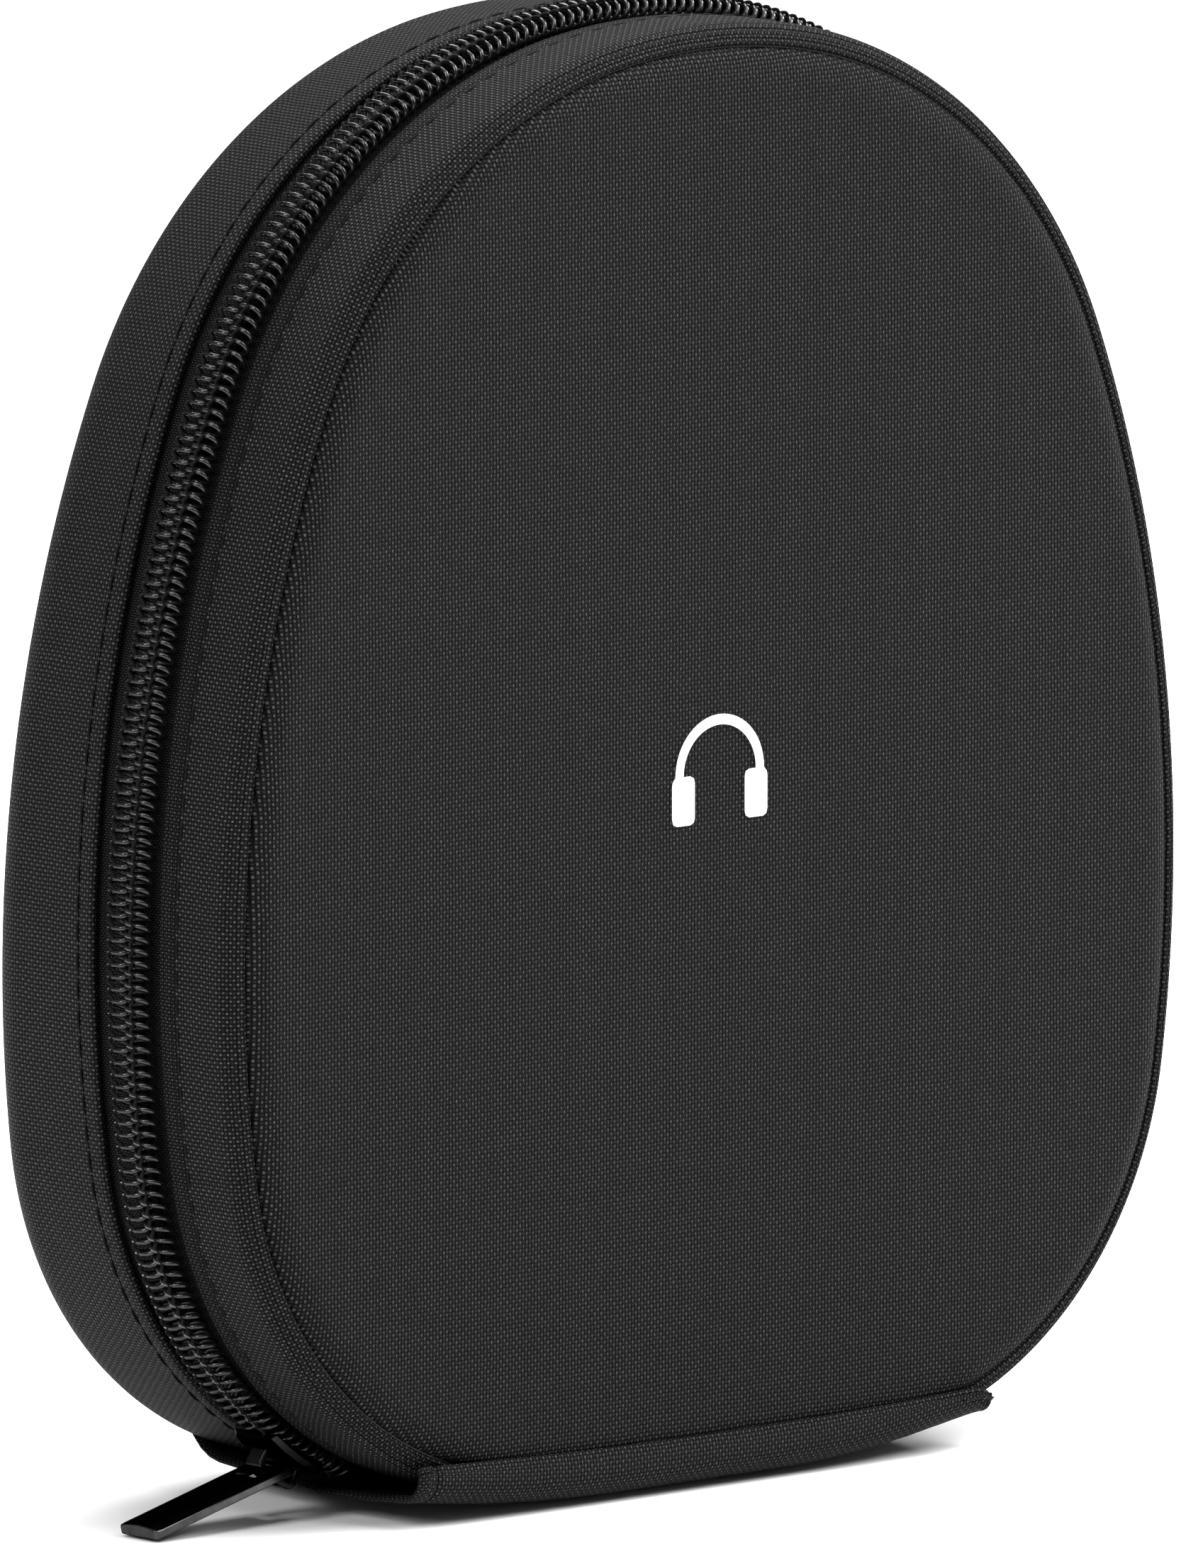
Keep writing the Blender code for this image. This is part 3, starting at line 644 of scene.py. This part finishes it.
def joined(name, parts, surface):
    """Several (vertices, faces) as one object."""
    points, faces, base = [], [], 0
    for vertices, own in parts:
        points.append(vertices)
        faces += [tuple(k + base for k in face) for face in own]
        base += len(vertices)
    return make_object(name, np.concatenate(points), faces, surface, sharp=180)


def stands_for(piece, body, slot, *nodes):
    """A piece that rides on a body and replaces CAD nodes. Its material slot, slot, is not used."""
    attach(piece, body)
    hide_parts(*nodes)
    return piece


# ---------------------------------------------------------------- covers, face and back

def mm(pairs):
    """Pairs given in millimetres."""
    return [(a * MM, b * MM) for a, b in pairs]


FACE_PROFILE = mm([(3.2, -18.3), (3.3, -18.8), (3.6, -19.35), (4.15, -19.85), (4.9, -20.2), (5.9, -20.48),
                   (7.2, -20.6), (9.0, -20.63), (13.0, -20.67), (20.0, -20.72), (30.0, -20.78), (42.0, -20.83),
                   (50.0, -20.85)])
BACK_PROFILE = mm([(8.4, 29.2), (8.7, 30.2), (9.3, 31.0), (10.3, 31.5), (11.8, 31.75), (14.0, 31.8), (22.0, 31.85),
                   (34.0, 31.9), (50.0, 31.95)])


def face_and_back(looks):
    """The padded face and back, and the two covers beside them."""
    def above_seam(points):
        """Ends the face above the spine's seam, with the same rounded edge."""
        depth = np.array([d for d, _ in FACE_PROFILE])
        lift = np.minimum(0.35 * (depth - depth[0]), 3.2 * MM)
        foot = seam_z(points[:, :, 0]) - SPINE_CLOTH + lift
        inside = (points[:, :, 0] > SPINE_LEFT - 2.0 * MM) & (points[:, :, 0] < SPINE_RIGHT + 2.0 * MM)
        points[:, :, 2] = np.where(inside, np.maximum(points[:, :, 2], foot), points[:, :, 2])
        return points

    face = dish("face_cloth", FACE_PROFILE, looks["face"], moved=above_seam)
    stands_for(face, "front_half", "face_fabric", "face_panel")
    back = dish("back_cloth", BACK_PROFILE, looks["face"])
    stands_for(back, "rear_half", "face_fabric", "back_panel")

    profile = mm([(0.0, -8.4), (0.0, -12.0), (0.0, -15.0)])
    shoulder = arc((SHOULDER_R, SHOULDER_Y), SHOULDER_R, 180, 180 + SHOULDER_TURN, SHOULDER_STEPS)
    for k, (d, y) in enumerate(shoulder):
        turn = math.radians(180 + SHOULDER_TURN * k / SHOULDER_STEPS)
        share = max((k - RIB_FIRST_STEP) / (SHOULDER_STEPS - RIB_FIRST_STEP), 0.0)
        sunk = RIB_HEIGHT * (1.0 - math.cos(2 * math.pi * RIBS * share))
        profile.append((d - sunk * math.cos(turn), y - sunk * math.sin(turn)))
    profile += mm([(2.95, -19.1), (3.2, -18.6), (3.35, -17.6)])
    cover = band("front_cover_cloth", thick(profile), looks["cover"])
    stands_for(cover, "front_half", "cover_fabric", "front_cover")

    profile = mm([(0.0, 11.35), (0.0, 14.0), (0.0, 18.0)])
    profile += arc((REAR_ROLL, REAR_Y - REAR_ROLL), REAR_ROLL, 180, 96, 14)
    profile += mm([(8.1, 30.75), (8.6, 30.2), (8.8, 29.4)])
    cover = band("rear_cover_cloth", thick(profile[::-1]), looks["cover"])
    stands_for(cover, "rear_half", "cover_fabric", "rear_cover")


def hems(looks):
    """Folded edges along the zip: a flat ribbed one in front and a rounded one that stands off behind."""
    front = mm([(0.5, -8.35), (0.2, -7.95), (0.15, -7.4), (0.3, -7.1), (0.15, -6.8), (0.15, -6.3), (0.3, -6.0),
                (0.15, -5.7), (0.25, -5.1), (0.7, -4.75), (1.3, -4.8), (1.35, -5.4), (1.35, -8.3)])
    stands_for(band("front_hem_fold", front, looks["hem"]), "front_half", "hem_fabric", "front_hem")
    rear = mm([(0.1, 11.25), (-0.15, 10.6), (-0.2, 9.6), (-0.15, 8.8), (0.1, 8.4), (0.5, 8.3), (0.85, 8.5),
               (0.95, 9.0), (0.95, 11.2)])
    stands_for(band("rear_hem_fold", rear, looks["cover"]), "rear_half", "hem_fabric", "rear_hem")


# ---------------------------------------------------------------- zip

def tapes(looks):
    """The woven tape of each half, under its hem and its coil."""
    for side, body, near, far in (("front", "front_half", -7.9, -0.3), ("rear", "rear_half", 0.3, 11.0)):
        tape = mm([(1.7, near), (1.55, near + 0.3), (1.55, far - 0.3), (1.7, far), (2.3, far), (2.3, near)])
        piece = band(side + "_tape_cloth", tape, looks["tape"], TAPE_END_ANGLE)
        stands_for(piece, body, "zip_tape", side + "_zip_tape")


def coil(side, sign, body, looks):
    """One coil of the zip as a continuous filament, with the thread that sews it to its tape."""
    path = open_path(COIL_END_ANGLE)
    start, end = path[0, 4], path[-1, 4]
    teeth = int((end - start) / TOOTH_PITCH) - 1
    per_tooth = 18
    turn = np.arange(teeth * per_tooth + 1) * 2 * math.pi / per_tooth
    offset = 0.5 if sign > 0 else 0.0
    shift = (turn + 0.42 * np.sin(2 * turn) + 0.55 * np.sin(turn)) / (2 * math.pi)
    ways = start + TOOTH_PITCH * (FIRST_TOOTH + offset + shift)
    across = COIL_MIDDLE + sign * (COIL_CENTRE + COIL_REACH * np.sign(np.cos(turn)) * np.abs(np.cos(turn)) ** 0.85)
    height = COIL_LIFT + COIL_RISE * np.sin(turn)
    radius = COIL_WIRE * (1.0 + 0.12 * np.cos(turn + math.pi))
    filament = placed(path, ways, across, height)
    middle = np.full_like(across, COIL_MIDDLE + sign * COIL_CENTRE)
    core = placed(path, ways, middle, np.full_like(height, COIL_LIFT))
    piece = joined(side + "_coil_filament", [tube(filament, filament - core, radius)], looks["coil"])
    stands_for(piece, body, "zip_coil", side + "_zip_coil")

    per_stitch = 12
    steps = np.arange(teeth * per_stitch + 1) / per_stitch
    wave = 2 * math.pi * (steps - 0.1)
    ways = start + TOOTH_PITCH * (FIRST_TOOTH + offset + steps)
    across = COIL_MIDDLE + sign * (CORD_ACROSS + 0.30 * MM * np.cos(wave))
    height = COIL_LIFT + COIL_RISE + 0.30 * MM + 0.24 * MM * np.cos(wave + 0.9)
    points = placed(path, ways, across, height)
    away = placed(path, ways, across, height + 1.0 * MM) - points
    piece = joined(side + "_coil_sewing", [tube(points, away, CORD_RADIUS)], looks["cord"])
    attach(piece, body)


def placed(path, ways, y, height):
    """World points at ways along a path, at depth y and at a height outside the outline."""
    at = along_path(path, ways)
    return np.stack([at[:, 0] + height * at[:, 2], y, at[:, 1] + height * at[:, 3]], axis=1)


def stitches(name, y, d, body, looks):
    """A row of sewing stitches along the outline, each dipping into the cloth at both ends."""
    path = open_path(STITCH_END_ANGLE)
    first, last = path[0, 4], path[-1, 4]
    parts = []
    share = np.linspace(-1.0, 1.0, 7)
    for k in range(int((last - first) / STITCH_PITCH)):
        ways = first + STITCH_PITCH * (k + 0.5) + share * STITCH_LENGTH / 2
        height = -d + 0.10 * MM - 0.34 * MM * share ** 4
        at = along_path(path, ways)
        depth = lean(np.full_like(share, y), at[:, 1])
        points = placed(path, ways, depth, height)
        away = placed(path, ways, depth, height + 1.0 * MM) - points
        parts.append(tube(points, away, STITCH_RADIUS * (1.0 - 0.35 * share ** 4)))
    piece = joined(name, parts, looks["stitch"])
    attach(piece, body)


# ---------------------------------------------------------------- spine

def spine(looks):
    """The spine's fabric in two cloths that meet under the case, one in front and one behind, with bound ends."""
    right = [0, 6, 12, 18, 24, 30, 36, 40, 43, 45.5, 47, 48]
    left = [-6, -12, -18, -24, -30, -36, -40, -44, -47, -49, -49.8, -50.2, -50.5, -50.8, -51.2, -51.8]
    stations = [SPINE_LEFT] + [x * MM for x in left[::-1]] + [x * MM for x in right] + [SPINE_RIGHT]

    def crease(x):
        """Depth of the left hem's seam line."""
        return HEM_SEAM_DEPTH * math.exp(-((x - HEM_SEAM_X) / HEM_SEAM_WIDTH) ** 2)

    def front_line(x):
        """(y, z) from the seam on the face, down the front bend and back under the case."""
        low, front = spine_z(x), -21.4 * MM
        # The bend's foot stands above the underside, most at the right end, where the seam dips too.
        lift = 0.9 * MM + 0.8 * MM * share_of((x - SPINE_FLAT_HALF) / (30 * MM))
        end = max(x - 46.0 * MM, 0.0) / (2.6 * MM)
        top = seam_z(x) - 0.7 * MM * end ** 2
        bend = min(SPINE_BEND, 0.8 * (top - low - lift))
        line = [(-20.35 * MM, top - 0.15 * MM), (-20.7 * MM, top), (-21.05 * MM, top - 0.25 * MM)]
        line += [(-21.25 * MM, top - 0.9 * MM), (front, top - (top - low - lift - bend) * 0.55)]
        line += arc((front + bend, low + lift + bend), bend, 180, 262, 9)
        for y in (-14.5, -12, -9, -6, -3, 0, 1.2):
            line.append((y * MM, low + lift * share_of((-y - 2.0) / 15.5) ** 1.5))
        return line

    def rear_line(x):
        """(y, z) back under the case from the middle, and round the back's lower edge."""
        low = spine_z(x)
        z = outline_z(x) + REAR_ROLL
        y = float(lean(REAR_Y - REAR_ROLL, z))
        start = (22.4 * MM, low)
        reach = REAR_ROLL + FABRIC + 0.45 * MM
        lands = (y + polar(reach, -62)[0], z + polar(reach, -62)[1])
        middle = (start[0] + (lands[0] - start[0]) * 0.62, low + 0.1 * MM)
        line = [(v * MM, low) for v in (1.2, 5, 9, 13, 17, 20)] + [start]
        for k in (0.25, 0.5, 0.75):
            line.append(tuple((1 - k) ** 2 * a + 2 * k * (1 - k) * b + k * k * c
                              for a, b, c in zip(start, middle, lands)))
        return line + arc((y, z), reach, -62, -16, 9)

    parts = (("front", front_line, ((0, -17.6, 0.0), (0, -21.4, 3.8))),
             ("rear", rear_line, ((0, 20.0, 0.0), (0, 24.5, 2.6))))
    for side, line_at, limits in parts:
        rows = []
        for x in stations:
            line = np.array(line_at(x))
            inward = inward_of(line)
            loop = np.concatenate([line + crease(x) * inward, (line + SPINE_CLOTH * inward)[::-1]])
            rows.append(np.column_stack([np.full(len(loop), x), loop]))
        points = open_end(np.array(rows))
        ways = loop_ways(points[len(stations) // 2, :, 1:3])
        cloth = swept("spine_cloth_" + side, points, np.array(stations), ways, looks["spine"],
                      caps=(0, len(stations) - 1))
        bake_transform(cloth)
        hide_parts("spine_" + side + "_strip", "spine_base")
        width = float(ways_of(np.array(line_at(0.0)))[-1])
        for end_name, x, reach in (("left", SPINE_LEFT, 1.4 * MM), ("right", SPINE_RIGHT, 0.5 * MM)):
            first = 4 if (side, end_name) == ("front", "right") else 0
            line = line_at(x)[first:]
            binding = end_binding("spine_hem_cloth_" + side + "_" + end_name, x, reach, line, looks)
            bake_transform(binding)
            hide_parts("spine_hem_" + end_name)


def open_end(points):
    """Draws the spine's left end in and up towards the back, where the fabric bows."""
    back = np.clip(points[..., 1] / (29.0 * MM), 0.0, 1.0)
    left = np.clip((-points[..., 0] - 38.0 * MM) / (14.0 * MM), 0.0, 1.0)
    share = back * left
    points[..., 0] += 3.0 * MM * share
    points[..., 2] += 1.3 * MM * share
    return points


def end_binding(name, x, reach, line, looks):
    """The flat hem along one end of the spine's cloth."""
    line, sides = np.array(line), 12
    inward = inward_of(line)
    rows = []
    for centre, inside in zip(line + inward * SPINE_CLOTH / 2, inward):
        row = []
        for k in range(sides):
            turn = 2 * math.pi * k / sides
            out, rise = reach * math.cos(turn), 0.52 * MM * math.sin(turn)
            row.append((x + out, centre[0] + inside[0] * rise, centre[1] + inside[1] * rise))
        rows.append(row)
    points = open_end(np.array(rows))
    return swept(name, points, ways_of(line), loop_ways(points[0]), looks["hem"], caps=(0, len(line) - 1))


# ---------------------------------------------------------------- slider and pull

def bevelled(piece, width):
    """Rounds a piece's edges."""
    rounding = piece.modifiers.new("rounding", "BEVEL")
    rounding.width = width
    rounding.segments = 3
    rounding.limit_method = "ANGLE"
    rounding.angle_limit = math.radians(28)
    rounding.harden_normals = True
    return piece


def slider_axes():
    """Centre of the slider on the outline, its way along the zip and outwards, from its own CAD box."""
    centre_x, centre_z = -outline_arcs()[3][0], outline_arcs()[3][1]
    low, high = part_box("slider_bridge")
    middle = (low + high) / 2
    outward = Vector((middle.x - centre_x, 0.0, middle.z - centre_z)).normalized()
    along = Vector((outward.z, 0.0, -outward.x))
    return Vector((centre_x, 0.0, centre_z)), along, outward


def slider(looks):
    """Slider body with its shoulders and side flanges, and the bridge."""
    centre, along, outward = slider_axes()
    radius = ARCS[3][0]

    def at(way, y, height):
        """A point on the corner's arc: way along it, depth, and height outside the outline."""
        turn = way / radius
        direction = outward * math.cos(turn) + along * math.sin(turn)
        place = centre + direction * (radius + height)
        return place.x, y, place.z

    rows = []
    for way, half, top in ((-5.2, 3.6, 2.6), (-4.4, 4.3, 2.95), (-3.0, 4.7, 3.15), (0.0, 4.85, 3.2),
                           (2.8, 4.9, 3.15), (4.2, 4.7, 2.95), (5.0, 4.1, 2.65)):
        section = [(-half, 1.95), (-half - 0.05, top - 0.75), (-half + 0.7, top - 0.15), (-half / 2, top),
                   (0, top + 0.05), (half / 2, top), (half - 0.4, top - 0.15), (half + 0.3, top - 0.75),
                   (half + 0.35, -1.0), (half - 0.35, -1.0), (half - 0.45, 1.95)]
        rows.append([at(way * MM, y * MM, h * MM) for y, h in section])
    points = np.array(rows)
    faces = capped_faces(*points.shape[:2])
    # The slider takes the darker copy of the black metal: painted shade.
    body = bevelled(make_object("slider_shell", points.reshape(-1, 3), faces, looks["painted_shade_metal"]), 0.18 * MM)
    stands_for(body, "slider", "black_metal", "slider_body")

    outline = [(-3.4, 0.0), (-3.4, 2.0), (-3.1, 2.65), (-2.3, 3.05), (-1.2, 3.15), (0.0, 3.18), (1.2, 3.15),
               (2.3, 3.05), (3.1, 2.65), (3.4, 2.0), (3.4, 0.0), (2.5, 0.0), (2.5, 1.6), (2.1, 2.1), (-2.1, 2.1),
               (-2.5, 1.6), (-2.5, 0.0)]
    foot = 3.3 * MM
    points = [at(w * MM, y, h * MM + foot) for y in (-1.45 * MM, 1.45 * MM) for w, h in outline]
    arch = bevelled(make_object("slider_arch", points, prism_faces(len(outline)), looks["painted_shade_metal"]), 0.22 * MM)
    stands_for(arch, "slider", "black_metal", "slider_bridge")


def pull_tab(looks):
    """Pull tab: a long crowned plate with bevelled edges and a slot for the bridge."""
    swing = next(j for j in frame["joints"] if j["name"] == "tab_swing")
    pivot = Vector(swing["pos_m"])
    drop = math.radians(TAB_DROP)
    along = Vector((-math.cos(drop), 0.0, -math.sin(drop)))
    up = Vector((-math.sin(drop), 0.0, math.cos(drop)))
    # Places along the tab and its half width there, then shares across it and the crown's rise at each.
    lengths = [-0.75, -0.45, 0.65, 4.9, 5.3, 8.0, 12.0, 16.0, 20.0, 23.4, 24.2, 24.5]
    widths = [3.3, 3.75, 3.9, 3.9, 3.9, 3.9, 3.9, 3.9, 3.9, 3.9, 3.75, 3.4]
    across = [-1.0, -0.82, -0.54, 0.0, 0.54, 0.82, 1.0]
    crown = [0.0, 0.26, 0.42, 0.52, 0.42, 0.26, 0.0]
    points = []
    for base, rise in ((-0.62, -0.12), (0.55, 1.0)):
        for length, half in zip(lengths, widths):
            near = min(max((length - 3.0) / 3.0, 0.35), 1.0)
            for share, lift in zip(across, crown):
                place = pivot + along * (length * MM) + up * ((base + rise * lift * near) * MM)
                points.append((place.x, share * half * MM, place.z))
    columns, rows = len(across), len(lengths)
    layer = columns * rows
    faces, slot = [], {(2, 2), (2, 3)}
    for row in range(rows - 1):
        for column in range(columns - 1):
            a = row * columns + column
            quad = (a, a + 1, a + columns + 1, a + columns)
            if (row, column) not in slot:
                faces += [quad, tuple(k + layer for k in quad)]
    hole = [row * columns + column for row, column in ((2, 2), (2, 3), (2, 4), (3, 4), (3, 3), (3, 2))]
    for loop in (hole, rim_of(rows, columns)):
        faces += wall_faces(loop, layer)
    piece = bevelled(make_object("pull_tab_plate", points, faces, looks["metal"]), 0.2 * MM)
    stands_for(piece, "pull", "black_metal", "pull_tab")


# ---------------------------------------------------------------- inside and print

def inside(looks):
    """Boards, linings, tray and pocket, after the CAD's own profiles."""
    board = arc((3.2 * MM, -16.6 * MM), 2.1 * MM, 270, 180, 6)
    board += mm([(1.1, -9.4), (2.6, -8.6), (2.6, -0.75), (2.85, -0.5), (4.35, -0.5), (4.6, -0.75), (4.6, -14.0),
                 (5.0, -14.85), (5.8, -15.2)])
    stands_for(dish("front_board", board, looks["board"]), "front_half", "moulded_core", "front_shell")
    cloth = mm([(5.95, -14.9), (5.2, -14.6), (4.9, -13.85), (4.9, -1.0), (5.1, -0.8), (5.4, -0.8), (5.6, -1.0),
                (5.6, -13.6), (5.75, -14.0), (6.2, -14.2)])
    stands_for(dish("front_lining_cloth", cloth, looks["lining"]), "front_half", "lining_fabric", "front_lining")
    board = arc((REAR_ROLL, REAR_Y - REAR_ROLL), REAR_ROLL - 1.1 * MM, 90, 180, 9)
    board += mm([(1.1, 12.4), (2.6, 11.6), (2.6, 0.75), (2.85, 0.5), (4.35, 0.5), (4.6, 0.75)])
    corner = (8.6 * MM, 22.6 * MM)
    board += arc(corner, 4.0 * MM, 180, 90, 6)
    stands_for(dish("rear_board", board, looks["board"]), "rear_half", "moulded_core", "rear_shell")
    cloth = arc(corner, 3.7 * MM, 90, 180, 6) + mm([(4.9, 1.0), (5.1, 0.8), (5.4, 0.8), (5.6, 1.0)])
    cloth += arc(corner, 3.0 * MM, 180, 90, 6)
    stands_for(dish("rear_lining_cloth", cloth, looks["lining"]), "rear_half", "lining_fabric", "rear_lining")
    tray(looks)
    pocket(looks)


def rounded_box(half_x, half_z, radius):
    """Closed (x, z) outline of a rectangle with round corners."""
    outline = []
    for sx, sz, start in ((1, 1, 0), (-1, 1, 90), (-1, -1, 180), (1, -1, 270)):
        outline += arc((sx * (half_x - radius), sz * (half_z - radius)), radius, start, start + 90, 8)
    return outline


def tray(looks):
    """Moulded accessory tray with a rolled rim and a soft inner floor."""
    low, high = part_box("accessory_tray")
    half_x, half_z, z = (high.x - low.x) / 2, (high.z - low.z) / 2, (high.z + low.z) / 2
    levels = mm([(0.0, 25.2), (0.0, 10.2), (0.3, 9.3), (0.9, 9.0), (1.4, 9.2), (1.9, 9.9), (2.2, 14.0), (2.6, 21.4),
                 (3.4, 22.8), (5.0, 23.2)])
    points = []
    for inset, y in levels:
        for x, dz in rounded_box(half_x - inset, half_z - inset, max(8.0 * MM - inset, 2.0 * MM)):
            points.append((x, float(lean(y, z + dz)), z + dz))
    faces = capped_faces(len(levels), len(points) // len(levels))
    piece = make_object("tray_moulding", points, faces, looks["tray"])
    stands_for(piece, "rear_half", "moulded_tray", "accessory_tray")


def gather(share):
    """Depth of the pocket's gathers at a share of its half width."""
    return GATHER_DEPTH * math.sin(share * GATHER_TURN)


def pocket(looks):
    """Elastic net pocket, slack in its middle, with a gathered binding along its mouth."""
    low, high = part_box("lid_pocket")
    side = right_side()
    edge = side[:, :2] - 6.0 * MM * side[:, 2:4]
    edge = edge[np.argsort(edge[:, 1])]
    edge = edge[edge[:, 1] < 100 * MM]
    rows, columns = 26, 41
    levels = low.z + (high.z - low.z) * np.linspace(0.0, 1.0, rows) ** 1.3
    reach = np.interp(levels, edge[:, 1], edge[:, 0])
    points = []
    for face_y in (-0.12 * MM, 0.12 * MM):
        for z, half in zip(levels, reach):
            rise = (z - low.z) / (high.z - low.z)
            for share in np.linspace(-1.0, 1.0, columns):
                sag = (1 - share ** 2) * math.sin(math.pi * rise ** 0.8) * 1.3 * MM
                points.append((share * half, POCKET_Y + sag + gather(share) * rise ** 2 + face_y, z))
    layer = rows * columns
    front = grid_faces(rows, columns, False, False)[0]
    faces = front + [tuple(k + layer for k in face) for face in front] + wall_faces(rim_of(rows, columns), layer)
    net = make_object("pocket_net_cloth", points, faces, looks["net"])
    stands_for(net, "front_half", "pocket_mesh", "lid_pocket")

    low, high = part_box("pocket_elastic")
    section = ((-1, 0.1), (-1, 0.9), (-0.5, 1.0), (0.5, 1.0), (1, 0.9), (1, 0.1), (0.5, 0.0), (-0.5, 0.0))
    rows = []
    for share in np.linspace(-1.0, 1.0, 161):
        half = 0.7 * MM + 0.05 * MM * math.sin(share * 700.0)
        rows.append([(share * high.x, POCKET_Y + gather(share) + a * half, low.z + (high.z - low.z) * b)
                     for a, b in section])
    points = np.array(rows)
    elastic = swept("pocket_binding", points, points[:, 0, 0], loop_ways(points[0]), looks["hem"],
                    caps=(0, len(rows) - 1))
    stands_for(elastic, "front_half", "hem_fabric", "pocket_elastic")


def pictogram(looks):
    """Generic printed headphone mark on the face."""
    bow_z = 97.0 * MM
    right = [polar(7.9, a) for a in range(90, -1, -6)]
    right += [(8.4, -0.6), (8.5, -1.2), (8.5, -5.6), (8.3, -6.3), (7.7, -6.6), (5.3, -6.6), (4.7, -6.3), (4.5, -5.7),
              (4.5, -0.9), (4.7, -0.3), (5.3, 0.0), (6.5, 0.0)]
    right += [polar(6.5, a) for a in range(6, 91, 6)]
    outline = [(x * MM, z * MM + bow_z) for x, z in right + [(-x, z) for x, z in right[-2:0:-1]]]
    points = [(x, y, z) for y in (-20.95 * MM, -20.80 * MM) for x, z in outline]
    faces = prism_faces(len(outline))
    uvs = [(points[k][0], points[k][2]) for face in faces for k in face]
    piece = make_object("headphone_print", points, faces, looks["print"], uvs)
    stands_for(piece, "front_half", "white_print", "face_print")


# ---------------------------------------------------------------- the whole case

# Name, azimuth, elevation, distance, size and power.
LIGHTS = (("key", 30.0, 48.0, 1.6, (1.0, 1.0), 28.0), ("left_fill", -85.0, 30.0, 1.8, (0.5, 0.8), 17.0),
          ("right_edge", 84.0, 36.0, 1.8, (0.5, 0.8), 34.0), ("accent", -62.0, 50.0, 1.8, (0.16, 0.22), 5.0),
          ("rim", 150.0, 55.0, 1.5, (0.9, 0.9), 20.0), ("top", -20.0, 85.0, 1.6, (1.2, 1.2), 15.0))


def build():
    """Materials, stage, camera and lights, and then every piece."""
    looks = {
        "face": weave("face_weave", FACE_PITCH, (0.062, 0.062, 0.063)),
        "cover": weave("cover_weave", COVER_PITCH, (0.072, 0.072, 0.073)),
        "spine": weave("spine_weave", COVER_PITCH, (0.066, 0.066, 0.067)),
        "hem": weave("hem_weave", HEM_PITCH, (0.056, 0.056, 0.057), melange=0.4),
        "tape": weave("tape_weave", TAPE_PITCH, (0.050, 0.050, 0.051), melange=0.3, roughness=0.8),
        "coil": nylon("coil_nylon", (0.005, 0.005, 0.005)),
        "cord": thread_material("coil_thread", (0.004, 0.004, 0.004)),
        "stitch": thread_material("stitch_thread", (0.004, 0.004, 0.004)),
        "metal": black_metal("black_metal", 0.066),
        # The same black metal as the pull tab's, drawn darker for the slider as painted shade.
        "painted_shade_metal": black_metal("black_metal_painted_shade", 0.024),
        "board": moulded("moulded_board", (0.020, 0.020, 0.021)),
        "lining": brushed("brushed_lining", (0.060, 0.060, 0.063), 2400.0),
        "tray": moulded("moulded_tray", (0.030, 0.030, 0.032)),
        "net": pocket_net(),
        "print": print_ink(),
    }
    make_stage()
    make_camera()
    for light in LIGHTS:
        make_light(*light)

    face_and_back(looks)
    hems(looks)
    tapes(looks)
    coil("front", -1.0, "front_half", looks)
    coil("rear", 1.0, "rear_half", looks)
    stitches("front_stitches", -8.75 * MM, 0.09 * MM, "front_half", looks)
    stitches("rear_stitches", 11.35 * MM, 0.0 * MM, "rear_half", looks)
    spine(looks)
    slider(looks)
    pull_tab(looks)
    inside(looks)
    pictogram(looks)
    for node in ("front_zip_stop_left", "front_zip_stop_right", "rear_zip_stop_left", "rear_zip_stop_right"):
        shape = frame["nodes"][node]
        shape.data.materials.clear()
        shape.data.materials.append(looks["metal"])


def make_world():
    """Even white light from all round."""
    world = bpy.data.worlds.new("studio")
    world.use_nodes = True
    shade = world.node_tree.nodes["Background"]
    shade.inputs["Color"].default_value = (1.0, 1.0, 1.0, 1.0)
    shade.inputs["Strength"].default_value = 0.35
    bpy.context.scene.world = world
    bpy.context.scene.view_settings.view_transform = "Standard"


make_world()
build()
